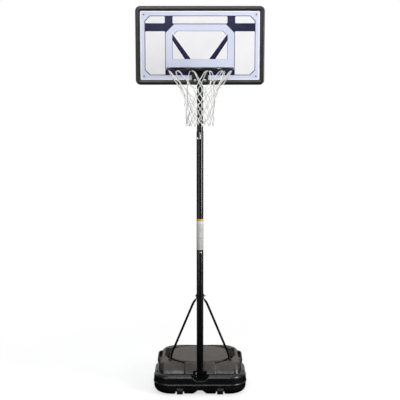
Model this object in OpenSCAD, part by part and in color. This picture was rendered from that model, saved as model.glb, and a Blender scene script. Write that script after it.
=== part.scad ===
// Portable basketball hoop on a water-filled base, telescoping pole, 32 inch backboard.
// Millimetres. X to the right, Y to the back, Z up. The hoop faces -Y and stands on Z = 0.
// The origin is at the middle of the bounding box, on the ground.

/* [Pole] */
// diameter of the lower and middle poles
pole_d = 45; // [38:0.5:60]
// wall of the lower pole
pole_wall = 1.5; // [1.2:0.1:3]
// wall of the middle pole
middle_wall = 2; // [1.5:0.1:3]
// diameter of the sliding upper pole
upper_d = 40.2; // [30:0.1:50]
// height where lower and middle poles meet
pole_split = 995; // [800:5:1100]
// height of the middle pole's top edge
pole_joint = 1778; // [1500:1:1900]
// height of the upper pole's lower end
upper_low = 1430; // [1300:5:1600]
// height of the upper pole's top end
upper_top = 2478; // [2300:1:2540]

/* [Backboard] */
// width of the backboard
board_w = 813; // [600:1:1200]
// height of the backboard
board_h = 490; // [400:1:800]
// height of the backboard's top edge
board_top = 2568; // [2400:1:2900]
// corner radius of the backboard
board_r = 32; // [5:1:80]
// width of the frame band
band_w = 32; // [20:1:60]
// depth of the frame
frame_t = 34; // [20:1:60]
// thickness of the panel
panel_t = 4; // [2:0.5:10]
// distance from pole axis to the panel's front face
panel_reach = 95; // [70:1:150]

/* [Rim] */
// inside diameter of the rim
rim_inner = 381; // [300:1:457]
// diameter of the rim's round bar
rim_bar = 16; // [10:0.5:20]
// height of the rim bar's centre
rim_z = 2180; // [1800:1:3060]
// distance from the panel's front to the rim's centre
rim_reach = 265; // [230:1:330]
// number of net hooks
hooks = 12; // [8:1:12]
// height the net ends at
net_low = 1835; // [1700:1:2000]
// radius of the net's mouth at the bottom
net_r = 83; // [60:1:120]

/* [Base] */
// width of the tank at its widest
tank_w = 634; // [500:1:900]
// front face of the tank, ahead of the pole axis
tank_front = 38; // [32:1:80]
// back face of the tank, behind the pole axis
tank_back = 494; // [400:1:700]
// height of the front ledge
ledge_z = 141; // [100:1:180]
// height of the tank's top
tank_top = 200; // [160:1:260]
// wall of the tank
tank_wall = 5; // [3:0.5:8]
// height the water stands to inside the tank
water_z = 176; // [80:1:190]
// wheel radius
wheel_r = 32; // [25:1:50]
// wheel width
wheel_w = 41; // [20:1:60]
// distance of each wheel from the middle
wheel_x = 136; // [100:1:200]

/* [Struts] */
// diameter of the strut tubes
strut_d = 14; // [10:1:22]
// height of the strut bolt through the pole
strut_z = 686; // [500:1:900]
// distance of each strut's foot from the middle
foot_x = 212; // [150:1:260]
// distance of the strut feet behind the pole axis
foot_y = 127; // [60:1:250]

/* [Hidden] */
$fn = 48;
r_pole = pole_d / 2;
r_upper = upper_d / 2;
panel_y = -panel_reach;
frame_y = panel_y - 4;
board_low = board_top - board_h;
rim_y = panel_y - rim_reach;
rim_r = rim_inner / 2 + rim_bar / 2;
axle_r = 6;
axle_z = wheel_r + 0.5;
clamp_z = 1762;
cap_y = 400;
// back of the solid block that holds the pole
shell_y = 62;
// back of the arch under the pole
arch_y = 88;
dish_y = 260;
// half width and half depth of the raised oval
dish_w = 218;
dish_d = 196;
// height of the bowl's floor round the pole foot
bowl_z = 104;
// outline radius of the tank's corners
corner_r = 125;
// height and inset of each level of the lower tier
shell_rings = [[3, 30], [10, 18], [25, 7], [66, 0], [100, 1], [118, 6], [130, 13], [ledge_z - 0.1, 30]];
bolt_r = 4;
rim_bolt_x = 31;
rim_bolt_low = board_low + 27;
rim_bolt_high = board_low + 77;
plate_low = board_low - 1;
plate_high = board_low + 102;
back_y = frame_y + frame_t;
cross_z = board_top - 140;
pole_y = (rim_reach + panel_reach + rim_r + rim_bar / 2 - tank_back) / 2;

// ---- shared shapes ----

// one level of a rounded outline: half width, front, back, corner radii, narrowing at the back
module level(z, w, y0, y1, rf, rb, taper = 0) {
  for (s = [-1, 1]) {
    translate([s * (w - rf), y0 + rf, z]) cylinder(r = rf, h = 0.1, $fn = 32);
    translate([s * (w - taper - rb), y1 - rb, z]) cylinder(r = rb, h = 0.1, $fn = 32);
  }
}

// round bar along X, centred
module bar_x(r, l) { rotate([0, 90, 0]) cylinder(r = r, h = l, center = true); }

// round bar along Y from y0 to y1
module bar_y(r, y0, y1) { translate([0, y1, 0]) rotate([90, 0, 0]) cylinder(r = r, h = y1 - y0); }

module tube(r, wall, z0, z1) {
  difference() {
    translate([0, 0, z0]) cylinder(r = r, h = z1 - z0);
    translate([0, 0, z0 - 1]) cylinder(r = r - wall, h = z1 - z0 + 2);
  }
}

// flat outline with round corners
module round_rect(w, h, r) {
  square([w - 2 * r, h], center = true);
  square([w, h - 2 * r], center = true);
  for (x = [-1, 1], y = [-1, 1]) translate([x * (w / 2 - r), y * (h / 2 - r)]) circle(r = r);
}

// turns a flat outline upright, thickness running back from y0
module upright(y0, t) { translate([0, y0 + t, 0]) rotate([90, 0, 0]) linear_extrude(t) children(); }

// ---- base ----

module tank_outer() {
  w = tank_w / 2;
  hull() for (q = shell_rings)
    level(q[0], w - q[1], q[1] - tank_front, tank_back - q[1], corner_r - q[1], corner_r - 12 - q[1] / 2);
  hull() {
    level(ledge_z - 20, 279, 38, tank_back - 8, 50, 115, 12);
    level(tank_top - 16, 274, 54, tank_back - 11, 46, 112, 12);
    level(tank_top - 6, 269, 59, tank_back - 14, 44, 110, 12);
    level(tank_top - 0.1, 261, 67, tank_back - 24, 40, 104, 12);
  }
  hull() {
    level(ledge_z - 20, 288, 110, 350, 40, 40);
    level(tank_top - 20, 284, 130, 345, 34, 34);
  }
  hull() {
    level(ledge_z + 9, 282, 184, 350, 26, 26);
    level(tank_top - 38, 295, 168, 364, 30, 30);
    level(tank_top - 18, 295, 168, 364, 30, 30);
    level(tank_top - 10, 288, 175, 357, 26, 26);
  }
  hull() {
    level(ledge_z - 20, 107, 32, 100, 8, 4);
    level(tank_top - 4, 103, 51, 100, 8, 4);
    level(tank_top + 2, 99, 57, 100, 6, 4);
  }
}

module tank_inner(g) {
  w = tank_w / 2;
  hull() for (q = shell_rings)
    level(min(max(q[0], 3 + g), ledge_z - g - 1), w - q[1] - g, q[1] + g - tank_front,
      tank_back - q[1] - g, corner_r - 4 - q[1], corner_r - 20 - q[1] / 2);
  hull() {
    level(ledge_z - 21, 277 - g, 44 + g, tank_back - 11 - g, 48, 110, 12);
    level(tank_top - g - 1, 259 - g, 70 + g, tank_back - 29 - g, 38, 100, 12);
  }
}

module base_tank() {
  color("#2b2b2c") difference() {
    union() {
      tank_outer();
      difference() {
        translate([0, dish_y, tank_top - 8]) scale([dish_w / dish_d, 1, 1])
          rotate_extrude($fn = 64) polygon([[0, 0], [dish_d, 0], [dish_d, 10], [dish_d - 8, 13], [0, 16]]);
        translate([0, cap_y, tank_top - 20]) cylinder(r = 26, h = 60);
      }
      translate([0, cap_y, tank_top - 12]) cylinder(r = 26, h = 15);
      translate([0, (tank_back - 50) / 2, 0]) linear_extrude(8)
        round_rect(tank_w - 108, tank_back - 34, 80);
    }
    difference() {
      tank_inner(tank_wall);
      for (s = [-1, 1]) translate([s * wheel_x - 33, -60, -1]) cube([66, 112, 78]);
      translate([-74, -60, -1]) cube([148, 60 + shell_y, 300]);
      translate([-74, -60, -1]) cube([148, 70 + arch_y, 54]);
      translate([-190, -60, -1]) cube([380, 74, 47]);
      translate([0, cap_y, tank_top - 24]) cylinder(r = 23, h = 60);
      for (s = [-1, 1]) translate([s * foot_x, foot_y, tank_top - 30]) cylinder(r = 12, h = 60);
    }
    // groove round the raised dish
    translate([0, dish_y, tank_top - 3]) scale([dish_w / dish_d, 1, 1]) difference() {
      cylinder(r = dish_d + 9, h = 20, $fn = 64);
      translate([0, 0, -1]) cylinder(r = dish_d, h = 22, $fn = 64);
      translate([-94, -250, -1]) cube([188, 180, 30]);
    }
    // shallow valley behind the front lip
    translate([0, 22, ledge_z + 15]) bar_x(22, 470);
    // notch and bowl round the pole foot, groove behind the pole
    translate([0, 2, 0]) rotate([90, 0, 0]) linear_extrude(60)
      polygon([[-66, ledge_z + 5], [66, ledge_z + 5], [42, 116], [24, bowl_z], [-24, bowl_z], [-42, 116]]);
    translate([0, 0, bowl_z]) cylinder(r1 = 46, r2 = 58, h = 50);
    translate([0, 12, bowl_z]) cylinder(r = 30, h = 200);
    translate([0, 0, -1]) cylinder(r = r_pole + 0.4, h = 300);
    // wheel wells
    for (s = [-1, 1]) {
      translate([s * wheel_x - 28, -60, -1]) cube([56, 100, 53]);
      translate([s * wheel_x, 0, axle_z]) bar_x(39, 56);
    }
    // channel for the axle, arch under the pole
    translate([0, 0, axle_z]) bar_x(axle_r + 0.05, 220);
    translate([-110, -axle_r - 0.05, -1]) cube([220, 2 * axle_r + 0.1, axle_z + 1]);
    translate([0, 0, -18]) bar_y(60, -60, arch_y);
    // finger recesses in the side grips
    for (s = [-1, 1], i = [0:5])
      translate([s * 230 - 14, 205 + i * 31, tank_top - 14]) cube([28, 17, 40]);
    for (s = [-1, 1]) translate([s * 274 - 8, 200, tank_top - 22]) cube([16, 130, 30]);
    // filler neck and strut screw bores
    translate([0, cap_y, tank_top - 60]) cylinder(r = 17, h = 90);
    for (s = [-1, 1])
      translate([s * foot_x, foot_y, tank_top - 26]) cylinder(r = 3, h = 40);
  }
}

module ballast_water() {
  color("#8fa7b5") difference() {
    intersection() {
      tank_inner(tank_wall + 1);
      translate([-400, shell_y + 2, 9.5]) cube([800, 600, water_z - 9.5]);
    }
    translate([-76, 0, -1]) cube([152, 12 + arch_y, 56]);
    for (s = [-1, 1]) translate([s * foot_x, foot_y, tank_top - 31]) cylinder(r = 13, h = 60);
  }
}

module axle_rod() { color("#8d9196") translate([0, 0, axle_z]) bar_x(axle_r, 2 * wheel_x + 54); }

module axle_caps() {
  color("#8d9196") for (s = [-1, 1])
    translate([s * (wheel_x + wheel_w / 2 + 3), 0, axle_z]) difference() {
      bar_x(10, 4);
      bar_x(axle_r, 6);
    }
}

module wheel(s) {
  h = wheel_w / 2;
  color("#1c1c1d") translate([s * wheel_x, 0, axle_z]) rotate([0, 90, 0])
    rotate_extrude($fn = 64) polygon([[axle_r + 0.08, -h + 1], [13, -h + 1], [13, -6], [25, -6],
      [25, -h], [30, -h], [32, -h + 3], [32, h - 3], [30, h], [25, h], [25, 6], [13, 6],
      [13, h - 1], [axle_r + 0.08, h - 1]]);
}

module wheel_left() { wheel(-1); }
module wheel_right() { wheel(1); }

module fill_cap() {
  color("#161617") translate([0, cap_y, tank_top + 3]) {
    difference() {
      union() {
        translate([0, 0, 1.5]) cylinder(r = 22, h = 6);
        translate([0, 0, -16]) cylinder(r = 16.92, h = 18);
        for (i = [0:17]) rotate([0, 0, i * 20]) translate([21.4, -1.4, 1.5]) cube([2, 2.8, 5]);
      }
      translate([0, 0, -17]) cylinder(r = 14, h = 18);
    }
    translate([-17, -3, 7.5]) cube([34, 6, 6]);
  }
}

module cap_seal() {
  color("#3a3a3a") translate([0, cap_y, tank_top + 3]) difference() {
    translate([0, 0, 0.3]) cylinder(r = 21, h = 1.2);
    translate([0, 0, -1]) cylinder(r = 17, h = 4);
  }
}

// ---- pole ----

module lower_pole() {
  color("#141516") difference() {
    tube(r_pole, pole_wall, axle_z + 2, pole_split);
    translate([0, 0, axle_z]) bar_x(axle_r + 0.05, 80);
    translate([0, 0, strut_z]) bar_x(bolt_r + 0.2, 80);
    translate([0, 0, pole_split - 15]) rotate([0, 0, 15]) bar_y(bolt_r + 0.2, -40, 40);
  }
}

module middle_pole() {
  color("#141516") difference() {
    union() {
      translate([0, 0, pole_split]) cylinder(r = r_pole, h = pole_joint - pole_split);
      translate([0, 0, pole_split - 95]) cylinder(r = r_pole - pole_wall - 0.05, h = 96);
    }
    translate([0, 0, pole_split]) cylinder(r = r_pole - middle_wall, h = 1000);
    translate([0, 0, pole_split - 100]) cylinder(r = r_pole - pole_wall - 2, h = 200);
    translate([0, 0, pole_split - 15]) rotate([0, 0, 15]) bar_y(bolt_r + 0.2, -40, 40);
    translate([0, 0, clamp_z]) bar_y(5.3, -40, 0);
  }
}

// bolt pointing back along Y, head ahead of y0, tip at y1
module bolt_y(y0, y1, head) {
  bar_y(bolt_r, y0 - 1, y1);
  bar_y(head, y0 - 4.5, y0);
}

// hex nut with its axis along Y
module nut_y(y0, y1) {
  translate([0, y1, 0]) rotate([90, 0, 0]) difference() {
    cylinder(r = 7.5, h = y1 - y0, $fn = 6);
    translate([0, 0, -1]) cylinder(r = bolt_r, h = y1 - y0 + 2);
  }
}

module joint_bolt() {
  color("#c9ccd0") translate([0, 0, pole_split - 15]) rotate([0, 0, 15]) bolt_y(-r_pole, 33, 6.5);
}

module joint_nut() {
  color("#c9ccd0") translate([0, 0, pole_split - 15]) rotate([0, 0, 15]) nut_y(r_pole, 29);
}

module height_label() { color("#c8c8c8") tube(r_pole + 0.3, 0.3, 998, 1205); }

module clamp_boss() {
  color("#9da0a4") translate([0, 0, clamp_z]) difference() {
    translate([0, -21, 0]) rotate([90, 0, 0]) cylinder(r = 9, h = 10, $fn = 6);
    bar_y(5, -40, 0);
    translate([0, 0, -20]) cylinder(r = r_pole, h = 40);
  }
}

module clamp_bolt() {
  color("#c9ccd0") translate([0, 0, clamp_z]) {
    bar_y(4.92, -38, -r_upper - 0.35);
    translate([0, -38, -6]) rotate([0, -90, 180])
      rotate_extrude(angle = 90, $fn = 32) translate([6, 0]) circle(r = 4, $fn = 24);
    translate([0, -44, -26]) cylinder(r = 4, h = 20);
    translate([-8, -44, -26]) rotate([90, 0, 0]) rotate([0, 0, 180])
      rotate_extrude(angle = 180, $fn = 32) translate([8, 0]) circle(r = 4, $fn = 24);
    translate([-16, -44, -26]) cylinder(r = 4, h = 6);
  }
}

// ---- struts ----

module strut(s) {
  top = [s * (r_pole + 2), 0, strut_z];
  foot = [s * foot_x, foot_y, tank_top + 1.5];
  run = foot - top;
  l = norm(run);
  aim = [0, acos(run[2] / l), atan2(run[1], run[0])];
  color("#141516") difference() {
    union() {
      translate(top) rotate(aim) translate([0, 0, 44]) cylinder(r = strut_d / 2, h = l - 84);
      hull() {
        translate([s * (r_pole + 1.6), 0, strut_z]) bar_x(11, 3);
        translate(top) rotate(aim) translate([0, 0, 44]) cylinder(r = strut_d / 2 - 0.6, h = 4);
      }
      hull() {
        translate([s * foot_x, foot_y, tank_top]) cylinder(r = 14, h = 3);
        translate(top) rotate(aim) translate([0, 0, l - 44]) cylinder(r = strut_d / 2 - 0.6, h = 4);
      }
    }
    translate(top) rotate(aim) translate([0, 0, 60]) cylinder(r = strut_d / 2 - 1.4, h = l - 120);
    translate([0, 0, strut_z]) bar_x(bolt_r + 0.2, 120);
    translate([s * (r_pole + 3.1 + 10), 0, strut_z]) bar_x(12.3, 20);
    translate([s * foot_x, foot_y, tank_top - 2]) cylinder(r = bolt_r + 0.2, h = 40);
    translate([s * foot_x, foot_y, tank_top + 3]) cylinder(r = 9, h = 60);
  }
}

module strut_left() { strut(-1); }
module strut_right() { strut(1); }

module strut_bolt() {
  color("#9da0a4") translate([0, 0, strut_z]) {
    bar_x(bolt_r, 76);
    translate([-(r_pole + 3.1 + 2.5), 0, 0]) rotate([0, 90, 0]) cylinder(r = 7.5, h = 5, $fn = 6,
      center = true);
  }
}

module strut_nut() {
  color("#9da0a4") translate([r_pole + 3.1 + 3, 0, strut_z]) rotate([0, 90, 0]) difference() {
    cylinder(r = 7.5, h = 6, $fn = 6, center = true);
    cylinder(r = bolt_r, h = 10, center = true);
  }
}

module foot_screws() {
  color("#9da0a4") for (s = [-1, 1]) translate([s * foot_x, foot_y, tank_top]) {
    translate([0, 0, -22]) cylinder(r = 3, h = 26);
    translate([0, 0, 3]) cylinder(r = 6.5, h = 4.5, $fn = 6);
  }
}

// ---- sliding top ----

module upper_pole() {
  color("#141516") difference() {
    tube(r_upper, 1.6, upper_low, upper_top);
    for (z = [board_low + 52, cross_z]) translate([0, 0, z]) bar_x(bolt_r + 0.2, 80);
  }
}

module pole_plug() {
  color("#1c1c1d") {
    translate([0, 0, upper_top]) cylinder(r1 = r_upper, r2 = r_upper - 3, h = 4);
    translate([0, 0, upper_top - 18]) cylinder(r = r_upper - 1.6, h = 18);
  }
}

module frame_outline() { translate([0, board_low + board_h / 2]) children(); }

module board_frame() {
  color("#2e2e30") {
    difference() {
      upright(frame_y, frame_t) frame_outline() round_rect(board_w, board_h, board_r);
      upright(frame_y - 1, frame_t + 2) frame_outline()
        round_rect(board_w - 2 * band_w, board_h - 2 * band_w, 10);
      upright(panel_y, panel_t) frame_outline()
        round_rect(board_w - 2 * band_w + 22, board_h - 2 * band_w + 22, 14);
      for (x = [-rim_bolt_x, rim_bolt_x]) translate([x, 0, rim_bolt_low])
        bar_y(bolt_r + 0.2, -160, 0);
      for (s = [-1, 1]) translate([s * (board_w / 2 - band_w + 8), 0, cross_z])
        bar_y(3, back_y - 18, back_y + 1);
    }
    // pad behind the rim plate
    difference() {
      translate([-48, frame_y, board_low + band_w]) cube([96, frame_t, 66]);
      for (x = [-rim_bolt_x, rim_bolt_x]) translate([x, 0, rim_bolt_high])
        bar_y(bolt_r + 0.2, -160, 0);
    }
    // corner gussets that take the panel screws
    for (sx = [-1, 1], sz = [0, 1])
      translate([0, 0, board_low + board_h / 2]) mirror([sx < 0 ? 1 : 0, 0, 0])
        mirror([0, 0, sz]) translate([0, 0, -board_h / 2]) difference() {
          upright(panel_y + panel_t, 8) polygon([[board_w / 2 - band_w, band_w],
            [board_w / 2 - band_w, band_w + 62], [board_w / 2 - band_w - 62, band_w]]);
          translate([board_w / 2 - band_w - 22, 0, band_w + 22]) bar_y(2, -200, 0);
        }
  }
}

module board_panel() {
  color("#dfe1ee") difference() {
    upright(panel_y, panel_t) frame_outline()
      round_rect(board_w - 2 * band_w + 20, board_h - 2 * band_w + 20, 13);
    translate([-48.5, panel_y - 1, board_low]) cube([97, 20, band_w + 66.5]);
    for (sx = [-1, 1], sz = [-1, 1])
      translate([sx * (board_w / 2 - band_w - 22), 0,
        board_low + board_h / 2 + sz * (board_h / 2 - band_w - 22)]) bar_y(2.6, -200, 0);
  }
}

module corner_screws() {
  color("#232325") for (sx = [-1, 1], sz = [-1, 1])
    translate([sx * (board_w / 2 - band_w - 22), 0,
      board_low + board_h / 2 + sz * (board_h / 2 - band_w - 22)]) {
      bar_y(2, panel_y - 1, panel_y + panel_t + 8);
      bar_y(4.5, panel_y - 2.4, panel_y);
    }
}

// steel channel across the back of the frame, open to the back
module cross_bar() {
  x = board_w / 2 - 14;
  color("#1f2022") difference() {
    translate([-x, back_y, cross_z - 20]) cube([2 * x, 16, 40]);
    translate([-x - 1, back_y + 2, cross_z - 18]) cube([2 * x + 2, 20, 36]);
    for (s = [-1, 1]) translate([s * (board_w / 2 - band_w + 8), 0, cross_z]) bar_y(3, -150, 0);
    for (s = [-1, 1]) translate([s * 31, 0, cross_z]) bar_y(bolt_r + 0.2, -150, 0);
  }
}

module cross_screws() {
  color("#9da0a4") for (s = [-1, 1])
    translate([s * (board_w / 2 - band_w + 8), 0, cross_z]) {
      bar_y(3, back_y - 18, back_y + 3);
      bar_y(6, back_y + 2, back_y + 6);
    }
}

// plate with two ears that clasp the pole
module ears(y0, z0, z1, zb) {
  difference() {
    union() {
      translate([-50, y0, z0]) cube([100, 3, z1 - z0]);
      for (s = [-1, 1]) translate([s * (r_upper + 1.8) - 1.5, y0 + 3, zb - 22])
        cube([3, 12 - y0, 44]);
    }
    translate([0, 0, zb]) bar_x(bolt_r + 0.2, 80);
  }
}

module lower_bracket() {
  color("#1f2022") difference() {
    ears(back_y, plate_low + 4, plate_high, board_low + 52);
    for (x = [-rim_bolt_x, rim_bolt_x], z = [rim_bolt_low, rim_bolt_high])
      translate([x, 0, z]) bar_y(bolt_r + 0.2, -160, 0);
  }
}

module upper_bracket() {
  color("#1f2022") difference() {
    ears(back_y + 16, cross_z - 30, cross_z + 30, cross_z);
    for (s = [-1, 1]) translate([s * 31, 0, cross_z]) bar_y(bolt_r + 0.2, -150, 0);
  }
}

module plate_bolts() {
  color("#9da0a4") for (s = [-1, 1]) translate([s * 31, 0, cross_z]) {
    bar_y(bolt_r, back_y, back_y + 28);
    bar_y(8, back_y - 4.5, back_y);
  }
}

module plate_nuts() {
  color("#9da0a4") for (s = [-1, 1])
    translate([s * 31, 0, cross_z]) nut_y(back_y + 19, back_y + 25.5);
}

module bracket_bolts() {
  color("#9da0a4") for (z = [board_low + 52, cross_z]) translate([0, 0, z]) {
    bar_x(bolt_r, 66);
    translate([-(r_upper + 3.3 + 2.5), 0, 0]) rotate([0, 90, 0])
      cylinder(r = 7.5, h = 5, $fn = 6, center = true);
  }
}

module bracket_nuts() {
  color("#9da0a4") for (z = [board_low + 52, cross_z])
    translate([r_upper + 3.3 + 3.25, 0, z]) rotate([0, 90, 0]) difference() {
      cylinder(r = 7.5, h = 6.5, $fn = 6, center = true);
      cylinder(r = bolt_r, h = 10, center = true);
    }
}

// ---- rim ----

module rim_plate() {
  m = (plate_low + plate_high) / 2;
  h = (plate_high - plate_low) / 2;
  color("#161719") difference() {
    upright(frame_y - 5, 5) translate([0, m]) polygon([[-52, h], [52, h], [52, 12 - h],
      [40, -h], [-40, -h], [-52, 12 - h]]);
    for (x = [-rim_bolt_x, rim_bolt_x], z = [rim_bolt_low, rim_bolt_high])
      translate([x, 0, z]) bar_y(bolt_r + 0.2, -160, 0);
  }
}

module rim_support() {
  y0 = rim_y + rim_r - 6;
  y1 = frame_y - 5;
  color("#161719") difference() {
    union() {
      translate([-40, y0, rim_z - 11]) cube([80, y1 - y0, 4]);
      for (s = [-1, 1]) translate([s * 16 - 1.5, 0, 0]) rotate([90, 0, 90]) linear_extrude(3)
        polygon([[y1, rim_z - 11], [y0 + 8, rim_z - 11], [y1, plate_low + 14]]);
    }
    translate([0, rim_y, rim_z]) rotate_extrude($fn = 96) translate([rim_r, 0])
      circle(r = rim_bar / 2 + 0.02);
  }
}

module rim_ring() {
  color("#17181a") translate([0, rim_y, rim_z]) rotate_extrude($fn = 96)
    translate([rim_r, 0]) circle(r = rim_bar / 2);
}

module rim_bolts() {
  color("#c9ccd0") for (x = [-rim_bolt_x, rim_bolt_x], z = [rim_bolt_low, rim_bolt_high])
    translate([x, 0, z]) {
      bar_y(bolt_r, frame_y - 6, back_y + 13);
      bar_y(8, frame_y - 9, frame_y - 5);
    }
}

module rim_nuts() {
  color("#9da0a4") for (x = [-rim_bolt_x, rim_bolt_x], z = [rim_bolt_low, rim_bolt_high])
    translate([x, 0, z]) nut_y(back_y + 3, back_y + 9.5);
}

module net_hooks() {
  color("#17181a") translate([0, rim_y, rim_z]) for (i = [0:hooks - 1])
    rotate([0, 0, (i + 0.5) * 360 / hooks]) translate([rim_r, 0, -rim_bar / 2])
      rotate([90, 0, 90]) rotate([0, 0, 180]) rotate_extrude(angle = 180, $fn = 24)
        translate([6, 0]) circle(r = 1.6, $fn = 16);
}

module net() {
  z0 = rim_z - rim_bar / 2 - 8.2;
  h = z0 - net_low;
  color("#f2f2f0") translate([0, rim_y, net_low]) rotate_extrude($fn = 64)
    polygon([[net_r, 0], [net_r + 4, h * 0.2], [net_r + 22, h * 0.42], [net_r + 62, h * 0.72],
      [rim_r - 2, h], [rim_r + 2, h], [net_r + 66, h * 0.72], [net_r + 26, h * 0.42],
      [net_r + 8, h * 0.2], [net_r + 4, 0]]);
}

// ---- the nodes ----

module place() { translate([0, pole_y, 0]) children(); }

place() base_tank();
place() ballast_water();
place() axle_rod();
place() axle_caps();
place() lower_pole();
place() middle_pole();
place() joint_bolt();
place() joint_nut();
place() height_label();
place() strut_left();
place() strut_right();
place() strut_bolt();
place() strut_nut();
place() foot_screws();
place() clamp_boss();
place() clamp_bolt();
place() fill_cap();
place() cap_seal();
place() wheel_left();
place() wheel_right();
place() upper_pole();
place() pole_plug();
place() board_frame();
place() board_panel();
place() corner_screws();
place() cross_bar();
place() cross_screws();
place() lower_bracket();
place() upper_bracket();
place() plate_bolts();
place() plate_nuts();
place() bracket_bolts();
place() bracket_nuts();
place() rim_plate();
place() rim_support();
place() rim_ring();
place() rim_bolts();
place() rim_nuts();
place() net_hooks();
place() net();
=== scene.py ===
import math
import random

import bmesh
import bpy
import numpy as np
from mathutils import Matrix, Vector


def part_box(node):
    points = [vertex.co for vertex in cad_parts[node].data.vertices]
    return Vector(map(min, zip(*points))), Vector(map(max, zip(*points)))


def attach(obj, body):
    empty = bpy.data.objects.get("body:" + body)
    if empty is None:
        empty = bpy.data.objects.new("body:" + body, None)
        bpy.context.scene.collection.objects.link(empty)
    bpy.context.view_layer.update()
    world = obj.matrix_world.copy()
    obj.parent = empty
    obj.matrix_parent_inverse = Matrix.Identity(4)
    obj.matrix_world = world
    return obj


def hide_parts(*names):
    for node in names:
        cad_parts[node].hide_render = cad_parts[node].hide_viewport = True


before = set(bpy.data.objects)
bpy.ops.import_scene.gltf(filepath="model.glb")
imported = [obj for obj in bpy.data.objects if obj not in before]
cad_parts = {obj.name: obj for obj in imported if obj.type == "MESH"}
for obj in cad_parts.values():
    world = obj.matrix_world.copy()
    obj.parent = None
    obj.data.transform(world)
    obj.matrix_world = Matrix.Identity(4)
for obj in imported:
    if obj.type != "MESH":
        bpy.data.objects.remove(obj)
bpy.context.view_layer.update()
mm = 0.001


# places taken from the frame
def middle(node):
    low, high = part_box(node)
    return (low + high) / 2


poleLow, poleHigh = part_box("lower_pole")
boardLow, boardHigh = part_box("board_frame")
panelLow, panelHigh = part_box("board_panel")
poleY = middle("lower_pole").y
poleRadius = (poleHigh.x - poleLow.x) / 2
rimCentre = middle("rim_ring")


# camera, light, floor

view = {"lens": 81.0, "distance": 5.834, "height": 2.180, "down": 8.31}

cameraData = bpy.data.cameras.new("viewCamera")
cameraData.lens = view["lens"]
cameraData.sensor_width = 36.0
camera = bpy.data.objects.new("viewCamera", cameraData)
camera.location = (0.0, poleY - view["distance"], view["height"])
camera.rotation_euler = (math.radians(90 - view["down"]), 0.0, 0.0)
bpy.context.collection.objects.link(camera)
bpy.context.scene.camera = camera
bpy.context.scene.view_settings.view_transform = "Standard"


def hexToLinear(code):
    channels = [int(code[i : i + 2], 16) / 255 for i in (1, 3, 5)]
    linear = [c / 12.92 if c <= 0.04045 else ((c + 0.055) / 1.055) ** 2.4 for c in channels]
    return (*linear, 1.0)


# adds a node: inputs takes values or sockets by name or place, settings are its own options
def addNode(tree, kind, inputs=None, **settings):
    node = tree.nodes.new(kind)
    for name, value in settings.items():
        setattr(node, name, value)
    for name, value in (inputs or {}).items():
        if isinstance(value, bpy.types.NodeSocket):
            tree.links.new(value, node.inputs[name])
        else:
            node.inputs[name].default_value = value
    return node


studio = {
    "backdrop": "#FFFFFF",
    "behind": 0.80,  # brightness of the sweep behind the object, as the object sees it
    "above": 0.34,
    "ahead": 0.07,
    "lights": [
        # name, place, aimed at, width, height, watts
        ("overhead", (0.1, -0.2, 5.2), (0, 0.1, 0.4), 3.2, 1.2, 66),
        ("rightBox", (3.2, -1.9, 2.0), (0, 0, 1.6), 0.7, 2.6, 120),
        ("leftBox", (-2.5, -3.2, 1.7), (0, 0, 1.2), 0.9, 3.0, 34),
        ("keyBox", (-0.5, -5.4, 4.2), (0, 0, 1.3), 2.8, 1.5, 128),
    ],
}


def makeStudio():
    world = bpy.data.worlds.new("studioWorld")
    bpy.context.scene.world = world
    world.use_nodes = True
    tree = world.node_tree
    tree.nodes.clear()
    seen = addNode(tree, "ShaderNodeBackground", {"Color": hexToLinear(studio["backdrop"]), "Strength": 1.0})
    way = addNode(tree, "ShaderNodeTexCoord").outputs["Generated"]
    parts = addNode(tree, "ShaderNodeSeparateXYZ", {0: way}).outputs
    above = addNode(
        tree, "ShaderNodeMapRange",
        {
            "Value": parts["Z"], "From Min": 0.1, "From Max": 0.9, "To Min": studio["ahead"],
            "To Max": studio["above"]
        }
    ).outputs[0]
    behind = addNode(
        tree, "ShaderNodeMapRange",
        {"Value": parts["Y"], "From Min": 0.15, "From Max": 0.75, "To Max": studio["behind"]}
    ).outputs[0]
    amount = addNode(tree, "ShaderNodeMath", {0: above, 1: behind}, operation="ADD").outputs[0]
    fill = addNode(tree, "ShaderNodeBackground", {"Color": hexToLinear("#FAFBFF"), "Strength": amount})
    rays = addNode(tree, "ShaderNodeLightPath")
    seenBy = rays.outputs["Is Camera Ray"]
    both = addNode(tree, "ShaderNodeMixShader", {0: seenBy, 1: fill.outputs[0], 2: seen.outputs[0]})
    addNode(tree, "ShaderNodeOutputWorld", {"Surface": both.outputs[0]})
    for name, place, target, width, height, watts in studio["lights"]:
        data = bpy.data.lights.new(name, "AREA")
        data.shape = "RECTANGLE"
        data.size = width
        data.size_y = height
        data.energy = watts
        light = bpy.data.objects.new(name, data)
        light.location = place
        light.rotation_euler = (Vector(target) - Vector(place)).to_track_quat("-Z", "Y").to_euler()
        bpy.context.collection.objects.link(light)
    floorMesh = bpy.data.meshes.new("floor")
    reach = 60.0
    corners = [(-reach, -reach, 0), (reach, -reach, 0), (reach, reach, 0), (-reach, reach, 0)]
    floorMesh.from_pydata(corners, [], [(0, 1, 2, 3)])
    floor = bpy.data.objects.new("floor", floorMesh)
    bpy.context.collection.objects.link(floor)
    floorMesh.materials.append(makeFloor())


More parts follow.
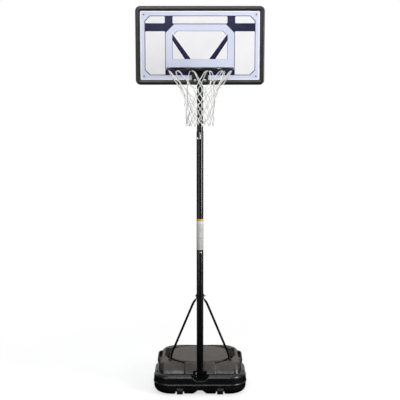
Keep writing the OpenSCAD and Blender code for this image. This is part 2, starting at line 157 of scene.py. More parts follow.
# pale floor that fades into the backdrop, with only a soft shadow left under the object
def makeFloor():
    material = bpy.data.materials.new("paleFloor")
    material.use_nodes = True
    tree = material.node_tree
    tree.nodes.clear()
    place = addNode(tree, "ShaderNodeTexCoord").outputs["Object"]
    away = addNode(tree, "ShaderNodeVectorMath", {0: place}, operation="LENGTH").outputs["Value"]
    fade = addNode(tree, "ShaderNodeMapRange", {"Value": away, "From Min": 0.6, "From Max": 2.0}).outputs[0]
    matte = addNode(tree, "ShaderNodeBsdfDiffuse", {"Color": hexToLinear("#A8A8A8")})
    lit = addNode(tree, "ShaderNodeEmission", {"Color": hexToLinear("#FFFFFF"), "Strength": 0.63})
    near = addNode(tree, "ShaderNodeAddShader", {0: matte.outputs[0], 1: lit.outputs[0]})
    far = addNode(tree, "ShaderNodeEmission", {"Color": hexToLinear("#FFFFFF"), "Strength": 1.0})
    seen = addNode(tree, "ShaderNodeMixShader", {0: fade, 1: near.outputs[0], 2: far.outputs[0]})
    # the object sees a dark floor, a little brighter to the sides
    parts = addNode(tree, "ShaderNodeSeparateXYZ", {0: place}).outputs
    back = addNode(
        tree, "ShaderNodeMapRange", {"Value": parts["Y"], "From Min": 0.5, "From Max": 2.2, "To Max": 0.04}
    ).outputs[0]
    width = addNode(tree, "ShaderNodeMath", {0: parts["X"]}, operation="ABSOLUTE").outputs[0]
    flank = addNode(
        tree, "ShaderNodeMapRange", {"Value": width, "From Min": 0.9, "From Max": 1.6, "To Max": 0.10}
    ).outputs[0]
    bounce = addNode(tree, "ShaderNodeMath", {0: back, 1: flank}, operation="MAXIMUM").outputs[0]
    dim = addNode(tree, "ShaderNodeEmission", {"Color": hexToLinear("#FFFFFF"), "Strength": bounce})
    rays = addNode(tree, "ShaderNodeLightPath")
    total = addNode(
        tree, "ShaderNodeMixShader", {0: rays.outputs["Is Camera Ray"], 1: dim.outputs[0], 2: seen.outputs[0]}
    )
    addNode(tree, "ShaderNodeOutputMaterial", {"Surface": total.outputs[0]})
    return material


makeStudio()
print("studio ready")


# materials


# patches of two tones, a grain in the bump, rub marks in the roughness, and optional wear, dust, a lighter
# upper part as painted light and darker hollows as painted shade
def makeFinish(name, look):
    material = bpy.data.materials.new(name)
    material.use_nodes = True
    tree = material.node_tree
    tree.nodes.clear()
    place = addNode(tree, "ShaderNodeTexCoord").outputs["Object"]
    patches = addNode(
        tree, "ShaderNodeTexNoise",
        {"Vector": place, "Scale": 1 / look["patch"], "Detail": 4.0, "Roughness": 0.55}
    )
    spread = addNode(
        tree, "ShaderNodeMapRange", {"Value": patches.outputs[0], "From Min": 0.32, "From Max": 0.68}
    )
    colour = addNode(
        tree, "ShaderNodeMix",
        {0: spread.outputs[0], 6: hexToLinear(look["dark"]), 7: hexToLinear(look["light"])},
        data_type="RGBA"
    ).outputs[2]
    stretch = look.get("streak", (1, 1, 1))
    mapped = addNode(tree, "ShaderNodeMapping", {"Vector": place, "Scale": stretch}).outputs[0]
    rub = addNode(
        tree, "ShaderNodeTexNoise",
        {"Vector": mapped, "Scale": 1 / look["rub"], "Detail": 6.0, "Roughness": 0.6}
    )
    rough = addNode(
        tree, "ShaderNodeMapRange",
        {
            "Value": rub.outputs[0], "From Min": 0.3, "From Max": 0.7, "To Min": look["rough"][0],
            "To Max": look["rough"][1]
        }
    ).outputs[0]
    if "wear" in look:
        edges = addNode(tree, "ShaderNodeNewGeometry").outputs["Pointiness"]
        edgeMask = addNode(
            tree, "ShaderNodeMapRange", {"Value": edges, "From Min": 0.53, "From Max": 0.62}
        ).outputs[0]
        worn = addNode(
            tree, "ShaderNodeMath", {0: edgeMask, 1: rub.outputs[0]}, operation="MULTIPLY"
        ).outputs[0]
        colour = addNode(
            tree, "ShaderNodeMix", {0: worn, 6: colour, 7: hexToLinear(look["wear"])}, data_type="RGBA"
        ).outputs[2]
    if "high" in look:
        # above a height the moulding turns rougher, and its colour turns a lighter warm grey: painted light
        # on the upper tier, lit from above
        level = addNode(tree, "ShaderNodeSeparateXYZ", {0: place}).outputs["Z"]
        span = {"Value": level, "From Min": look["highFrom"], "From Max": look["highTo"]}
        lifted = addNode(tree, "ShaderNodeMapRange", span).outputs[0]
        colour = addNode(
            tree, "ShaderNodeMix", {0: lifted, 6: colour, 7: hexToLinear(look["high"])}, data_type="RGBA"
        ).outputs[2]
        extra = addNode(
            tree, "ShaderNodeMath", {0: lifted, 1: look["highRough"]}, operation="MULTIPLY"
        ).outputs[0]
        rough = addNode(tree, "ShaderNodeMath", {0: rough, 1: extra}, operation="ADD").outputs[0]
    if "recessShade" in look:
        # painted shade: moulded hollows are coloured darker than the open faces, where shade falls in them
        shadeInHollows = addNode(tree, "ShaderNodeAttribute", attribute_name="recessShade").outputs["Fac"]
        colour = addNode(
            tree, "ShaderNodeMix", {0: shadeInHollows, 6: colour, 7: hexToLinear(look["recessShade"])}, data_type="RGBA"
        ).outputs[2]
    if "dust" in look:
        facing = addNode(tree, "ShaderNodeNewGeometry").outputs["Normal"]
        up = addNode(tree, "ShaderNodeSeparateXYZ", {0: facing}).outputs["Z"]
        cloud = addNode(
            tree, "ShaderNodeTexNoise", {"Vector": place, "Scale": 9.0, "Detail": 5.0, "Roughness": 0.65}
        ).outputs[0]
        laid = addNode(
            tree, "ShaderNodeMapRange",
            {"Value": up, "From Min": 0.35, "From Max": 1.0, "To Max": look["dustAmount"]}
        ).outputs[0]
        film = addNode(tree, "ShaderNodeMath", {0: laid, 1: cloud}, operation="MULTIPLY").outputs[0]
        if "high" in look:
            film = addNode(tree, "ShaderNodeMath", {0: film, 1: lifted}, operation="MULTIPLY").outputs[0]
        colour = addNode(
            tree, "ShaderNodeMix", {0: film, 6: colour, 7: hexToLinear(look["dust"])}, data_type="RGBA"
        ).outputs[2]
        rough = addNode(tree, "ShaderNodeMath", {0: rough, 1: film}, operation="ADD").outputs[0]
    grain = addNode(
        tree, "ShaderNodeTexNoise",
        {"Vector": mapped, "Scale": 1 / look["grain"], "Detail": 3.0, "Roughness": 0.5}
    )
    bump = addNode(
        tree, "ShaderNodeBump",
        {"Height": grain.outputs[0], "Distance": look["relief"], "Strength": look.get("bump", 0.6)}
    )
    if "waves" in look:
        swell = addNode(
            tree, "ShaderNodeTexNoise", {"Vector": place, "Scale": 1 / look["waves"], "Detail": 1.0}
        )
        bump = addNode(
            tree, "ShaderNodeBump",
            {
                "Height": swell.outputs[0], "Distance": look["waveDepth"], "Strength": 0.8,
                "Normal": bump.outputs[0]
            }
        )
    shader = addNode(
        tree, "ShaderNodeBsdfPrincipled",
        {"Base Color": colour, "Roughness": rough, "Normal": bump.outputs[0]}
    )
    shader.inputs["Metallic"].default_value = look.get("metal", 0.0)
    shader.inputs["Coat Weight"].default_value = look.get("coat", 0.0)
    shader.inputs["Coat Roughness"].default_value = look.get("coatRough", 0.1)
    if "ior" in look:
        shader.inputs["IOR"].default_value = look["ior"]
    addNode(tree, "ShaderNodeOutputMaterial", {"Surface": shader.outputs[0]})
    return material


# blow-moulded polyethylene: waxy, softly rippled, pebbled skin, pale rub marks on edges, dust on top; the
# upper tier's lighter warm grey is painted light and its darkened hollows are painted shade
polyethylene = makeFinish(
    "blowMouldedPolyethylene",
    {
        "dark": "#0A0A0A", "light": "#121212", "patch": 0.11, "rub": 0.035, "rough": (0.24, 0.36),
        "high": "#332C25", "highFrom": 0.147, "highTo": 0.160, "highRough": 0.2, "grain": 0.0024,
        "relief": 0.00035, "bump": 0.5, "wear": "#6A6762", "recessShade": "#040404", "dust": "#8C857A",
        "dustAmount": 0.16, "waves": 0.07, "waveDepth": 0.0018, "ior": 1.5
    }
)

# gloss powder coat on steel tube: fine orange peel, long faint rub streaks up the tube
powderCoat = makeFinish(
    "glossPowderCoat",
    {
        "dark": "#060606", "light": "#0D0D0E", "patch": 0.09, "rub": 0.012, "streak": (1, 1, 0.12),
        "rough": (0.18, 0.29), "grain": 0.0035, "relief": 0.00009, "bump": 0.5, "coat": 0.15,
        "coatRough": 0.12, "ior": 1.5
    }
)

# bright zinc plate: pale bluish metal with soft cloudy tones and fine turning marks
zincPlate = makeFinish(
    "brightZincPlate",
    {
        "dark": "#A9ACB0", "light": "#D6D8DA", "patch": 0.008, "rub": 0.003, "rough": (0.18, 0.36),
        "grain": 0.0009, "relief": 0.00005, "metal": 1.0
    }
)

# cold-drawn steel rod: grey metal with long drawing marks
drawnSteel = makeFinish(
    "coldDrawnSteel",
    {
        "dark": "#6F7276", "light": "#8F9296", "patch": 0.02, "rub": 0.004, "streak": (0.1, 1, 1),
        "rough": (0.3, 0.45), "grain": 0.0012, "relief": 0.00006, "metal": 1.0
    }
)

# injection-moulded polypropylene: satin black with a spark-eroded grain
polypropylene = makeFinish(
    "mouldedPolypropylene",
    {
        "dark": "#131314", "light": "#1B1B1D", "patch": 0.12, "rub": 0.03, "rough": (0.30, 0.40),
        "grain": 0.0016, "relief": 0.00018, "bump": 0.5, "wear": "#4A4A4C", "dust": "#6E6C6A",
        "dustAmount": 0.12, "ior": 1.5
    }
)

# black electro-coat on pressed steel: even satin film, slightly thin on the edges
electroCoat = makeFinish(
    "blackElectroCoat",
    {
        "dark": "#08090A", "light": "#101112", "patch": 0.05, "rub": 0.015, "rough": (0.3, 0.46),
        "grain": 0.0022, "relief": 0.0001, "wear": "#3C3D40", "ior": 1.5
    }
)

# rim enamel: black gloss, scuffed by the ball along the bar
rimEnamel = makeFinish(
    "rimEnamel",
    {
        "dark": "#050507", "light": "#0B0C10", "patch": 0.04, "rub": 0.01, "rough": (0.18, 0.34),
        "grain": 0.003, "relief": 0.00012, "wear": "#35363C", "coat": 0.2, "ior": 1.5
    }
)

# moulded wheel and cap plastic: dull black nylon, road-rubbed
mouldedNylon = makeFinish(
    "mouldedNylon",
    {
        "dark": "#0F0F10", "light": "#1B1B1C", "patch": 0.02, "rub": 0.006, "rough": (0.42, 0.62),
        "grain": 0.0014, "relief": 0.0002, "wear": "#3B3A39", "dust": "#6D675F", "dustAmount": 0.2
    }
)

# soft seal rubber: matte, faintly dusty
sealRubber = makeFinish(
    "sealRubber",
    {
        "dark": "#161616", "light": "#242424", "patch": 0.01, "rub": 0.004, "rough": (0.7, 0.85),
        "grain": 0.0012, "relief": 0.0001
    }
)

# tank water: seen only through the filler neck
tankWater = makeFinish(
    "tankWater",
    {
        "dark": "#5F7480", "light": "#7E939E", "patch": 0.2, "rub": 0.1, "rough": (0.03, 0.06),
        "grain": 0.05, "relief": 0.0006
    }
)


# screen-printed polycarbonate sheet: flat ink under a clear gloss, a faint dust haze, no relief
def makeInk(name, dark, light, rough):
    return makeFinish(
        name,
        {
            "dark": dark, "light": light, "patch": 0.16, "rub": 0.05, "rough": rough, "grain": 0.004,
            "relief": 0.00003, "bump": 0.35, "coat": 0.15, "coatRough": 0.1
        }
    )


sheetWhite = makeInk("printedSheetWhite", "#F1F2F6", "#F8F8FB", (0.2, 0.28))
inkLavender = makeInk("inkLavender", "#CDD3E8", "#D6DBEE", (0.2, 0.28))
inkPale = makeInk("inkPale", "#E6E5E8", "#ECEBEE", (0.2, 0.28))
inkNavy = makeInk("inkNavy", "#101236", "#181A42", (0.2, 0.28))


# printed vinyl wrap: pale film, yellow band at the top, rows of grey bars where print would be
def makeLabelVinyl():
    material = makeFinish(
        "printedVinyl",
        {
            "dark": "#C2C2C0", "light": "#D4D4D2", "patch": 0.03, "rub": 0.01, "rough": (0.32, 0.45),
            "grain": 0.002, "relief": 0.00004, "coat": 0.15
        }
    )
    tree = material.node_tree
    shader = next(n for n in tree.nodes if n.type == "BSDF_PRINCIPLED")
    base = shader.inputs["Base Color"].links[0].from_socket
    low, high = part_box("height_label")
    place = addNode(tree, "ShaderNodeTexCoord").outputs["Object"]
    split = addNode(tree, "ShaderNodeSeparateXYZ", {0: place})
    height = addNode(
        tree, "ShaderNodeMapRange", {"Value": split.outputs["Z"], "From Min": low.z, "From Max": high.z},
        clamp=False
    ).outputs[0]
    # turn round the pole, 0 at the front
    forward = addNode(
        tree, "ShaderNodeMath", {0: poleY, 1: split.outputs["Y"]}, operation="SUBTRACT"
    ).outputs[0]
    turn = addNode(
        tree, "ShaderNodeMath", {0: split.outputs["X"], 1: forward}, operation="ARCTAN2"
    ).outputs[0]
    # rows 7 mm apart, each a broken grey bar
    rows = addNode(
        tree, "ShaderNodeMath", {0: split.outputs["Z"], 1: 0.007}, operation="DIVIDE"
    ).outputs[0]
    part = addNode(tree, "ShaderNodeMath", {0: rows}, operation="FRACT").outputs[0]
    inRow = addNode(tree, "ShaderNodeMath", {0: part, 1: 0.42}, operation="LESS_THAN").outputs[0]
    rowNumber = addNode(tree, "ShaderNodeMath", {0: rows}, operation="FLOOR").outputs[0]
    along = addNode(tree, "ShaderNodeMath", {0: turn, 1: 3.2}, operation="MULTIPLY").outputs[0]
    cell = addNode(tree, "ShaderNodeCombineXYZ", {"X": along, "Y": rowNumber, "Z": 0.0}).outputs[0]
    broken = addNode(tree, "ShaderNodeTexNoise", {"Vector": cell, "Scale": 1.7, "Detail": 0.0}).outputs[0]
    shown = addNode(tree, "ShaderNodeMath", {0: broken, 1: 0.47}, operation="GREATER_THAN").outputs[0]
    bars = addNode(tree, "ShaderNodeMath", {0: inRow, 1: shown}, operation="MULTIPLY").outputs[0]
    inside = addNode(tree, "ShaderNodeMath", {0: height, 1: 0.86}, operation="LESS_THAN").outputs[0]
    bars = addNode(tree, "ShaderNodeMath", {0: bars, 1: inside}, operation="MULTIPLY").outputs[0]
    bars = addNode(tree, "ShaderNodeMath", {0: bars, 1: 0.55}, operation="MULTIPLY").outputs[0]
    colour = addNode(
        tree, "ShaderNodeMix", {0: bars, 6: base, 7: hexToLinear("#4A4B4E")}, data_type="RGBA"
    ).outputs[2]
    band = addNode(tree, "ShaderNodeMath", {0: height, 1: 0.93}, operation="GREATER_THAN").outputs[0]
    colour = addNode(
        tree, "ShaderNodeMix", {0: band, 6: colour, 7: hexToLinear("#D2982E")}, data_type="RGBA"
    ).outputs[2]
    tree.links.new(colour, shader.inputs["Base Color"])
    return material


labelVinyl = makeLabelVinyl()


# braided polyester cord: white, soft sheen, the braid runs along the cord's own map
def makeBraid():
    material = bpy.data.materials.new("braidedPolyester")
    material.use_nodes = True
    tree = material.node_tree
    tree.nodes.clear()
    uv = addNode(tree, "ShaderNodeUVMap", uv_map="UVMap").outputs[0]
    split = addNode(tree, "ShaderNodeSeparateXYZ", {0: uv})
    # u goes once round, v is metres along: two crossing helices, 6 mm pitch, coarse enough to show
    u = split.outputs["X"]
    v = split.outputs["Y"]
    around = addNode(tree, "ShaderNodeMath", {0: u, 1: 37.7}, operation="MULTIPLY").outputs[0]
    along = addNode(tree, "ShaderNodeMath", {0: v, 1: 1047.0}, operation="MULTIPLY").outputs[0]
    leftTurn = addNode(tree, "ShaderNodeMath", {0: around, 1: along}, operation="ADD").outputs[0]
    rightTurn = addNode(tree, "ShaderNodeMath", {0: around, 1: along}, operation="SUBTRACT").outputs[0]
    leftWave = addNode(tree, "ShaderNodeMath", {0: leftTurn}, operation="SINE").outputs[0]
    rightWave = addNode(tree, "ShaderNodeMath", {0: rightTurn}, operation="SINE").outputs[0]
    braid = addNode(tree, "ShaderNodeMath", {0: leftWave, 1: rightWave}, operation="MULTIPLY").outputs[0]
    # painted shade: the braid's valleys are coloured darker than its crowns
    shade = addNode(
        tree, "ShaderNodeMapRange", {"Value": braid, "From Min": -1.0, "From Max": 1.0}
    ).outputs[0]
    place = addNode(tree, "ShaderNodeTexCoord").outputs["Object"]
    grime = addNode(
        tree, "ShaderNodeTexNoise", {"Vector": place, "Scale": 14.0, "Detail": 3.0}
    ).outputs[0]
    thread = addNode(
        tree, "ShaderNodeMix", {0: shade, 6: hexToLinear("#E2E1DF"), 7: hexToLinear("#FAFAF9")},
        data_type="RGBA"
    ).outputs[2]
    worn = addNode(
        tree, "ShaderNodeMapRange", {"Value": grime, "From Min": 0.5, "From Max": 0.8, "To Max": 0.25}
    ).outputs[0]
    colour = addNode(
        tree, "ShaderNodeMix", {0: worn, 6: thread, 7: hexToLinear("#A9A59C")}, data_type="RGBA"
    ).outputs[2]
    bump = addNode(tree, "ShaderNodeBump", {"Height": braid, "Distance": 0.0006, "Strength": 0.7})
    shader = addNode(
        tree, "ShaderNodeBsdfPrincipled",
        {"Base Color": colour, "Roughness": 0.62, "Normal": bump.outputs[0], "Sheen Weight": 0.25}
    )
    addNode(tree, "ShaderNodeOutputMaterial", {"Surface": shader.outputs[0]})
    return material


netBraid = makeBraid()
print("materials ready")


# mesh helpers


# replaces each corner of a flat outline by a short curve
def softCorners(points, radius, steps=4, closed=True):
    made = []
    count = len(points)
    for i, point in enumerate(points):
        if not closed and i in (0, count - 1):
            made.append(tuple(point))
            continue
        here = Vector(point)
        before = Vector(points[i - 1])
        after = Vector(points[(i + 1) % count])
        reach = radius[i] if isinstance(radius, (list, tuple)) else radius
        reach = min(reach, (before - here).length / 2, (after - here).length / 2)
        start = here + (before - here).normalized() * reach
        end = here + (after - here).normalized() * reach
        for k in range(steps + 1):
            t = k / steps
            made.append(tuple(start * (1 - t) ** 2 + here * 2 * t * (1 - t) + end * t**2))
    return made


# turns a profile of (radius, height) round an axis that starts at centre
def lathe(profile, centre, axis=(0, 0, 1), segments=64):
    turn = Vector((0, 0, 1)).rotation_difference(Vector(axis)).to_matrix()
    verts = []
    rings = []
    for radius, height in profile:
        ring = []
        for k in range(1 if radius < 1e-7 else segments):
            angle = 2 * math.pi * k / segments
            spot = Vector((radius * math.cos(angle), radius * math.sin(angle), height))
            verts.append(turn @ spot + Vector(centre))
            ring.append(len(verts) - 1)
        rings.append(ring)
    faces = []
    for low, high in zip(rings, rings[1:]):
        for k in range(segments):
            a = low[k % len(low)]
            b = low[(k + 1) % len(low)]
            c = high[(k + 1) % len(high)]
            d = high[k % len(high)]
            face = [a, b, c, d]
            if a == b:
                face = [a, c, d]
            if c == d:
                face = [a, b, c]
            faces.append(face)
    return verts, faces


# closes a profile into a loop, for tubes and rings
def ringLathe(profile, centre, axis=(0, 0, 1), segments=64):
    return lathe(list(profile) + [profile[0]], centre, axis, segments)


# flat outline in X and Z, thickness along Y
def plate(outline, front, back, offset=(0, 0)):
    count = len(outline)
    verts = [(x + offset[0], front, z + offset[1]) for x, z in outline]
    verts += [(x + offset[0], back, z + offset[1]) for x, z in outline]
    faces = [list(range(count))]
    faces.append(list(range(2 * count - 1, count - 1, -1)))
    for i in range(count):
        j = (i + 1) % count
        faces.append([i, i + count, j + count, j])
    return verts, faces


# skin over rows of points, each row the same length
def skin(rows, closeRows=False, cap=False):
    columns = len(rows[0])
    verts = [tuple(p) for row in rows for p in row]
    faces = []
    for r in range(len(rows) if closeRows else len(rows) - 1):
        nextRow = (r + 1) % len(rows)
        for c in range(columns):
            nextColumn = (c + 1) % columns
            faces.append(
                [
                    r * columns + c, r * columns + nextColumn, nextRow * columns + nextColumn,
                    nextRow * columns + c
                ]
            )
    if cap:
        faces.append(list(range(columns))[::-1])
        faces.append(list(range((len(rows) - 1) * columns, len(rows) * columns)))
    return verts, faces


def boxShape(low, high):
    (x0, y0, z0), (x1, y1, z1) = low, high
    return plate([(x0, z0), (x1, z0), (x1, z1), (x0, z1)], y0, y1)


# joins shapes into one mesh object at the origin; a shape is (verts, faces) or (verts, faces, material)
def makeObject(name, shapes, materials, sharp=32, bevel=0.0, steps=2):
    mesh = bpy.data.meshes.new(name)
    verts = []
    faces = []
    slots = []
    for item in shapes:
        start = len(verts)
        verts += [tuple(v) for v in item[0]]
        faces += [[i + start for i in face] for face in item[1]]
        slots += [item[2] if len(item) > 2 else 0] * len(item[1])
    mesh.from_pydata(verts, [], faces)
    for material in materials:
        mesh.materials.append(material)
    mesh.polygons.foreach_set("material_index", slots)
    work = bmesh.new()
    work.from_mesh(mesh)
    bmesh.ops.remove_doubles(work, verts=work.verts, dist=1e-6)
    bmesh.ops.recalc_face_normals(work, faces=work.faces)
    work.to_mesh(mesh)
    work.free()
    made = bpy.data.objects.new(name, mesh)
    bpy.context.collection.objects.link(made)
    if bevel:
        edges = made.modifiers.new("softEdges", "BEVEL")
        edges.width = bevel
        edges.segments = steps
        edges.limit_method = "ANGLE"
        edges.angle_limit = math.radians(30)
        freeze(made)
    shadeSmooth(made, sharp)
    return made


def shadeSmooth(made, sharp):
    made.data.shade_smooth()
    made.data.set_sharp_from_angle(angle=math.radians(sharp))


# swaps the live modifiers for their result
def freeze(made):
    graph = bpy.context.evaluated_depsgraph_get()
    result = bpy.data.meshes.new_from_object(made.evaluated_get(graph))
    made.modifiers.clear()
    made.data = result


# puts a finished object on its body and hides the CAD nodes it stands for; the slot name is not used
def settle(made, body, slotName, *nodes):
    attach(made, body)
    if nodes:
        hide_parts(*nodes)
    return made


# a node's own shape with its long facets joined and its edges eased
def easedNode(node, body, slotName, material, bevel, sharp=32):
    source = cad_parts[node]
    work = bmesh.new()
    work.from_mesh(source.data)
    bmesh.ops.remove_doubles(work, verts=work.verts, dist=1e-6)
    bmesh.ops.dissolve_limit(work, angle_limit=math.radians(1), verts=work.verts, edges=work.edges)
    mesh = bpy.data.meshes.new(node + "Eased")
    work.to_mesh(mesh)
    work.free()
    mesh.materials.clear()
    mesh.materials.append(material)
    made = bpy.data.objects.new(node + "Eased", mesh)
    bpy.context.collection.objects.link(made)
    edges = made.modifiers.new("softEdges", "BEVEL")
    edges.width = bevel
    edges.segments = 2
    edges.limit_method = "ANGLE"
    edges.angle_limit = math.radians(35)
    freeze(made)
    shadeSmooth(made, sharp)
    return settle(made, body, slotName, node)


# geometry node helpers


def newTree(name, wanted):
    tree = bpy.data.node_groups.new(name, "GeometryNodeTree")
    tree.interface.new_socket("Geometry", in_out="INPUT", socket_type="NodeSocketGeometry")
    sockets = {}
    for label, kind in wanted.items():
        sockets[label] = tree.interface.new_socket(label, in_out="INPUT", socket_type=kind).identifier
    tree.interface.new_socket("Geometry", in_out="OUTPUT", socket_type="NodeSocketGeometry")
    return tree, sockets


def runTree(made, tree, sockets, values):
    modifier = made.modifiers.new("build", "NODES")
    modifier.node_group = tree
    for label, value in values.items():
        modifier[sockets[label]] = value
    freeze(made)


# copies one shape to many places; each place is (position, turn as XYZ angles)
def repeatShape(name, unit, places, material):
    wanted = {"Unit": "NodeSocketObject", "Scale": "NodeSocketFloat", "Finish": "NodeSocketMaterial"}
    tree, sockets = newTree(name + "Spread", wanted)
    given = addNode(tree, "NodeGroupInput")
    source = addNode(tree, "GeometryNodeObjectInfo", {"Object": given.outputs["Unit"]})
    turn = addNode(tree, "GeometryNodeInputNamedAttribute", {"Name": "turn"}, data_type="FLOAT_VECTOR")
    asTurn = addNode(tree, "FunctionNodeEulerToRotation", {0: turn.outputs["Attribute"]})
    copies = addNode(
        tree, "GeometryNodeInstanceOnPoints",
        {
            "Points": given.outputs["Geometry"], "Instance": source.outputs["Geometry"],
            "Rotation": asTurn.outputs[0], "Scale": given.outputs["Scale"]
        }
    )
    real = addNode(tree, "GeometryNodeRealizeInstances", {"Geometry": copies.outputs[0]})
    painted = addNode(
        tree, "GeometryNodeSetMaterial", {"Geometry": real.outputs[0], "Material": given.outputs["Finish"]}
    )
    addNode(tree, "NodeGroupOutput", {"Geometry": painted.outputs[0]})
    mesh = bpy.data.meshes.new(name)
    mesh.from_pydata([tuple(p) for p, _ in places], [], [])
    turns = mesh.attributes.new("turn", "FLOAT_VECTOR", "POINT")
    turns.data.foreach_set("vector", [a for _, angles in places for a in angles])
    made = bpy.data.objects.new(name, mesh)
    bpy.context.collection.objects.link(made)
    runTree(made, tree, sockets, {"Unit": unit, "Scale": 1.0, "Finish": material})
    bpy.data.objects.remove(unit)
    return made


# spreads a fastener to its places and settles it for its CAD node
def placeSet(name, unit, places, node, body="top", finish=None, slotName="zinc_steel", sharp=30):
    made = repeatShape(name, unit, places, finish or zincPlate)
    shadeSmooth(made, sharp)
    return settle(made, body, slotName, node)


# round cord along each path, with a map that runs once round and in metres along
def cordShape(name, paths, radius, sides, material):
    wanted = {"Radius": "NodeSocketFloat", "Sides": "NodeSocketInt", "Finish": "NodeSocketMaterial"}
    tree, sockets = newTree(name + "Cord", wanted)
    given = addNode(tree, "NodeGroupInput")
    alongPath = addNode(tree, "GeometryNodeSplineParameter")
    keptAlong = addNode(tree, "GeometryNodeCaptureAttribute", {"Geometry": given.outputs["Geometry"]})
    keptAlong.capture_items.new("FLOAT", "along")
    tree.links.new(alongPath.outputs["Length"], keptAlong.inputs["along"])
    section = addNode(
        tree, "GeometryNodeCurvePrimitiveCircle",
        {"Resolution": given.outputs["Sides"], "Radius": given.outputs["Radius"]}
    )
    roundPath = addNode(tree, "GeometryNodeSplineParameter")
    keptRound = addNode(tree, "GeometryNodeCaptureAttribute", {"Geometry": section.outputs[0]})
    keptRound.capture_items.new("FLOAT", "round")
    tree.links.new(roundPath.outputs["Factor"], keptRound.inputs["round"])
    swept = addNode(
        tree, "GeometryNodeCurveToMesh",
        {"Curve": keptAlong.outputs[0], "Profile Curve": keptRound.outputs[0], "Fill Caps": True}
    )
    pair = addNode(
        tree, "ShaderNodeCombineXYZ", {"X": keptRound.outputs["round"], "Y": keptAlong.outputs["along"]}
    )
    mapped = addNode(
        tree, "GeometryNodeStoreNamedAttribute",
        {"Geometry": swept.outputs[0], "Name": "UVMap", "Value": pair.outputs[0]}, data_type="FLOAT2",
        domain="CORNER"
    )
    real = addNode(tree, "GeometryNodeRealizeInstances", {"Geometry": mapped.outputs[0]})
    painted = addNode(
        tree, "GeometryNodeSetMaterial", {"Geometry": real.outputs[0], "Material": given.outputs["Finish"]}
    )
    addNode(tree, "NodeGroupOutput", {"Geometry": painted.outputs[0]})
    curve = bpy.data.curves.new(name + "Path", "CURVE")
    curve.dimensions = "3D"
    for path in paths:
        spline = curve.splines.new("POLY")
        spline.points.add(len(path) - 1)
        for point, spot in zip(spline.points, path):
            point.co = (*spot, 1.0)
    source = bpy.data.objects.new(name + "Path", curve)
    bpy.context.collection.objects.link(source)
    modifier = source.modifiers.new("build", "NODES")
    modifier.node_group = tree
    for label, value in {"Radius": radius, "Sides": sides, "Finish": material}.items():
        modifier[sockets[label]] = value
    graph = bpy.context.evaluated_depsgraph_get()
    mesh = bpy.data.meshes.new_from_object(source.evaluated_get(graph))
    bpy.data.objects.remove(source)
    made = bpy.data.objects.new(name, mesh)
    bpy.context.collection.objects.link(made)
    shadeSmooth(made, 50)
    return made


# joins finished objects into the first one
def joinObjects(name, parts):
    bpy.ops.object.select_all(action="DESELECT")
    for part in parts:
        part.select_set(True)
    bpy.context.view_layer.objects.active = parts[0]
    bpy.ops.object.join()
    parts[0].name = name
    return parts[0]


# tank

tank = {
    "cell": 3.1,  # mm between the points the shape is worked out on
    "triangles": 185000,
    "waterCell": 8.0,
    "water": (8, 66, 76, 100),  # wall, front face, half width and back of the solid block round the pole
    "ledge": 141,
    "top": 200,
    "flange": 5.0,  # parting line, how far it stands out
    "flangeZ": 73,
    "shoulder": 27,  # rounding of the lower tier's top edge
    "belly": 46,  # rounding of its bottom edge
    "dish": (205, 181, 262),  # half width, half depth, middle
    "groove": 16.0,
    "blockWidth": 104,
    "bowl": (46, 58, 104),  # radius at the floor, at the brim, floor height
    "notchZ": (104, 116, 146),
    "notchWidth": (24, 42, 66),
    "pocket": (229, 14, 300, 95),  # middle, half width, middle, half length
    "ribPitch": 31,
    "capY": 400,
    "wheelX": 136,
    "wellWidth": 28,
    "axleZ": 32.5,
    "arch": (64, 42, 88),  # half width, height and back end of the opening under the pole
    # half width, front, back, corner radius in front and behind, narrowing towards the back
    "lowerTier": (313, -35, 489, 116, 110, 0),
    "upperTier": (279, 40, 484, 50, 114, 12),
    "upperFoot": (280, 40, 484, 50, 114, 12),
    "sideWall": (280, 112, 348, 36, 36, 0),
    "grip": (294.5, 168, 364, 34, 34, 0),
    "fingerScoop": (10, 192, 342, 8, 8, 0),
    "standingPad": (258, -2, 450, 80, 80, 0),
    "capSeat": 26.5,
    "capNeck": 17.2,
    "poleHole": 23.4,
}


def smoothMin(a, b, blend):
    h = np.clip(0.5 + 0.5 * (b - a) / blend, 0, 1)
    return b + (a - b) * h - blend * h * (1 - h)


def smoothMax(a, b, blend):
    return -smoothMin(-a, -b, blend)


# distance to a rounded outline seen from above, mm
def outlineField(side, y, width, front, back, frontCorner, backCorner, taper):
    share = np.clip((y - front) / (back - front), 0, 1)
    centre = (front + back) / 2
    corner = np.where(y > centre, backCorner, frontCorner)
    across = side - (width - taper * share**2) + corner
    deep = np.abs(y - centre) - (back - front) / 2 + corner
    outside = np.hypot(np.maximum(across, 0), np.maximum(deep, 0))
    return np.minimum(np.maximum(across, deep), 0) + outside - corner


# gives a flat outline height, with round top and bottom edges
def roundedSlab(outline, z, low, high, lowRound, highRound):
    fields = []
    for past, radius in ((low - z, lowRound), (z - high, highRound)):
        a = outline + radius
        b = past + radius
        fields.append(np.hypot(np.maximum(a, 0), np.maximum(b, 0)) + np.minimum(np.maximum(a, b), 0) - radius)
    return np.maximum(fields[0], fields[1])


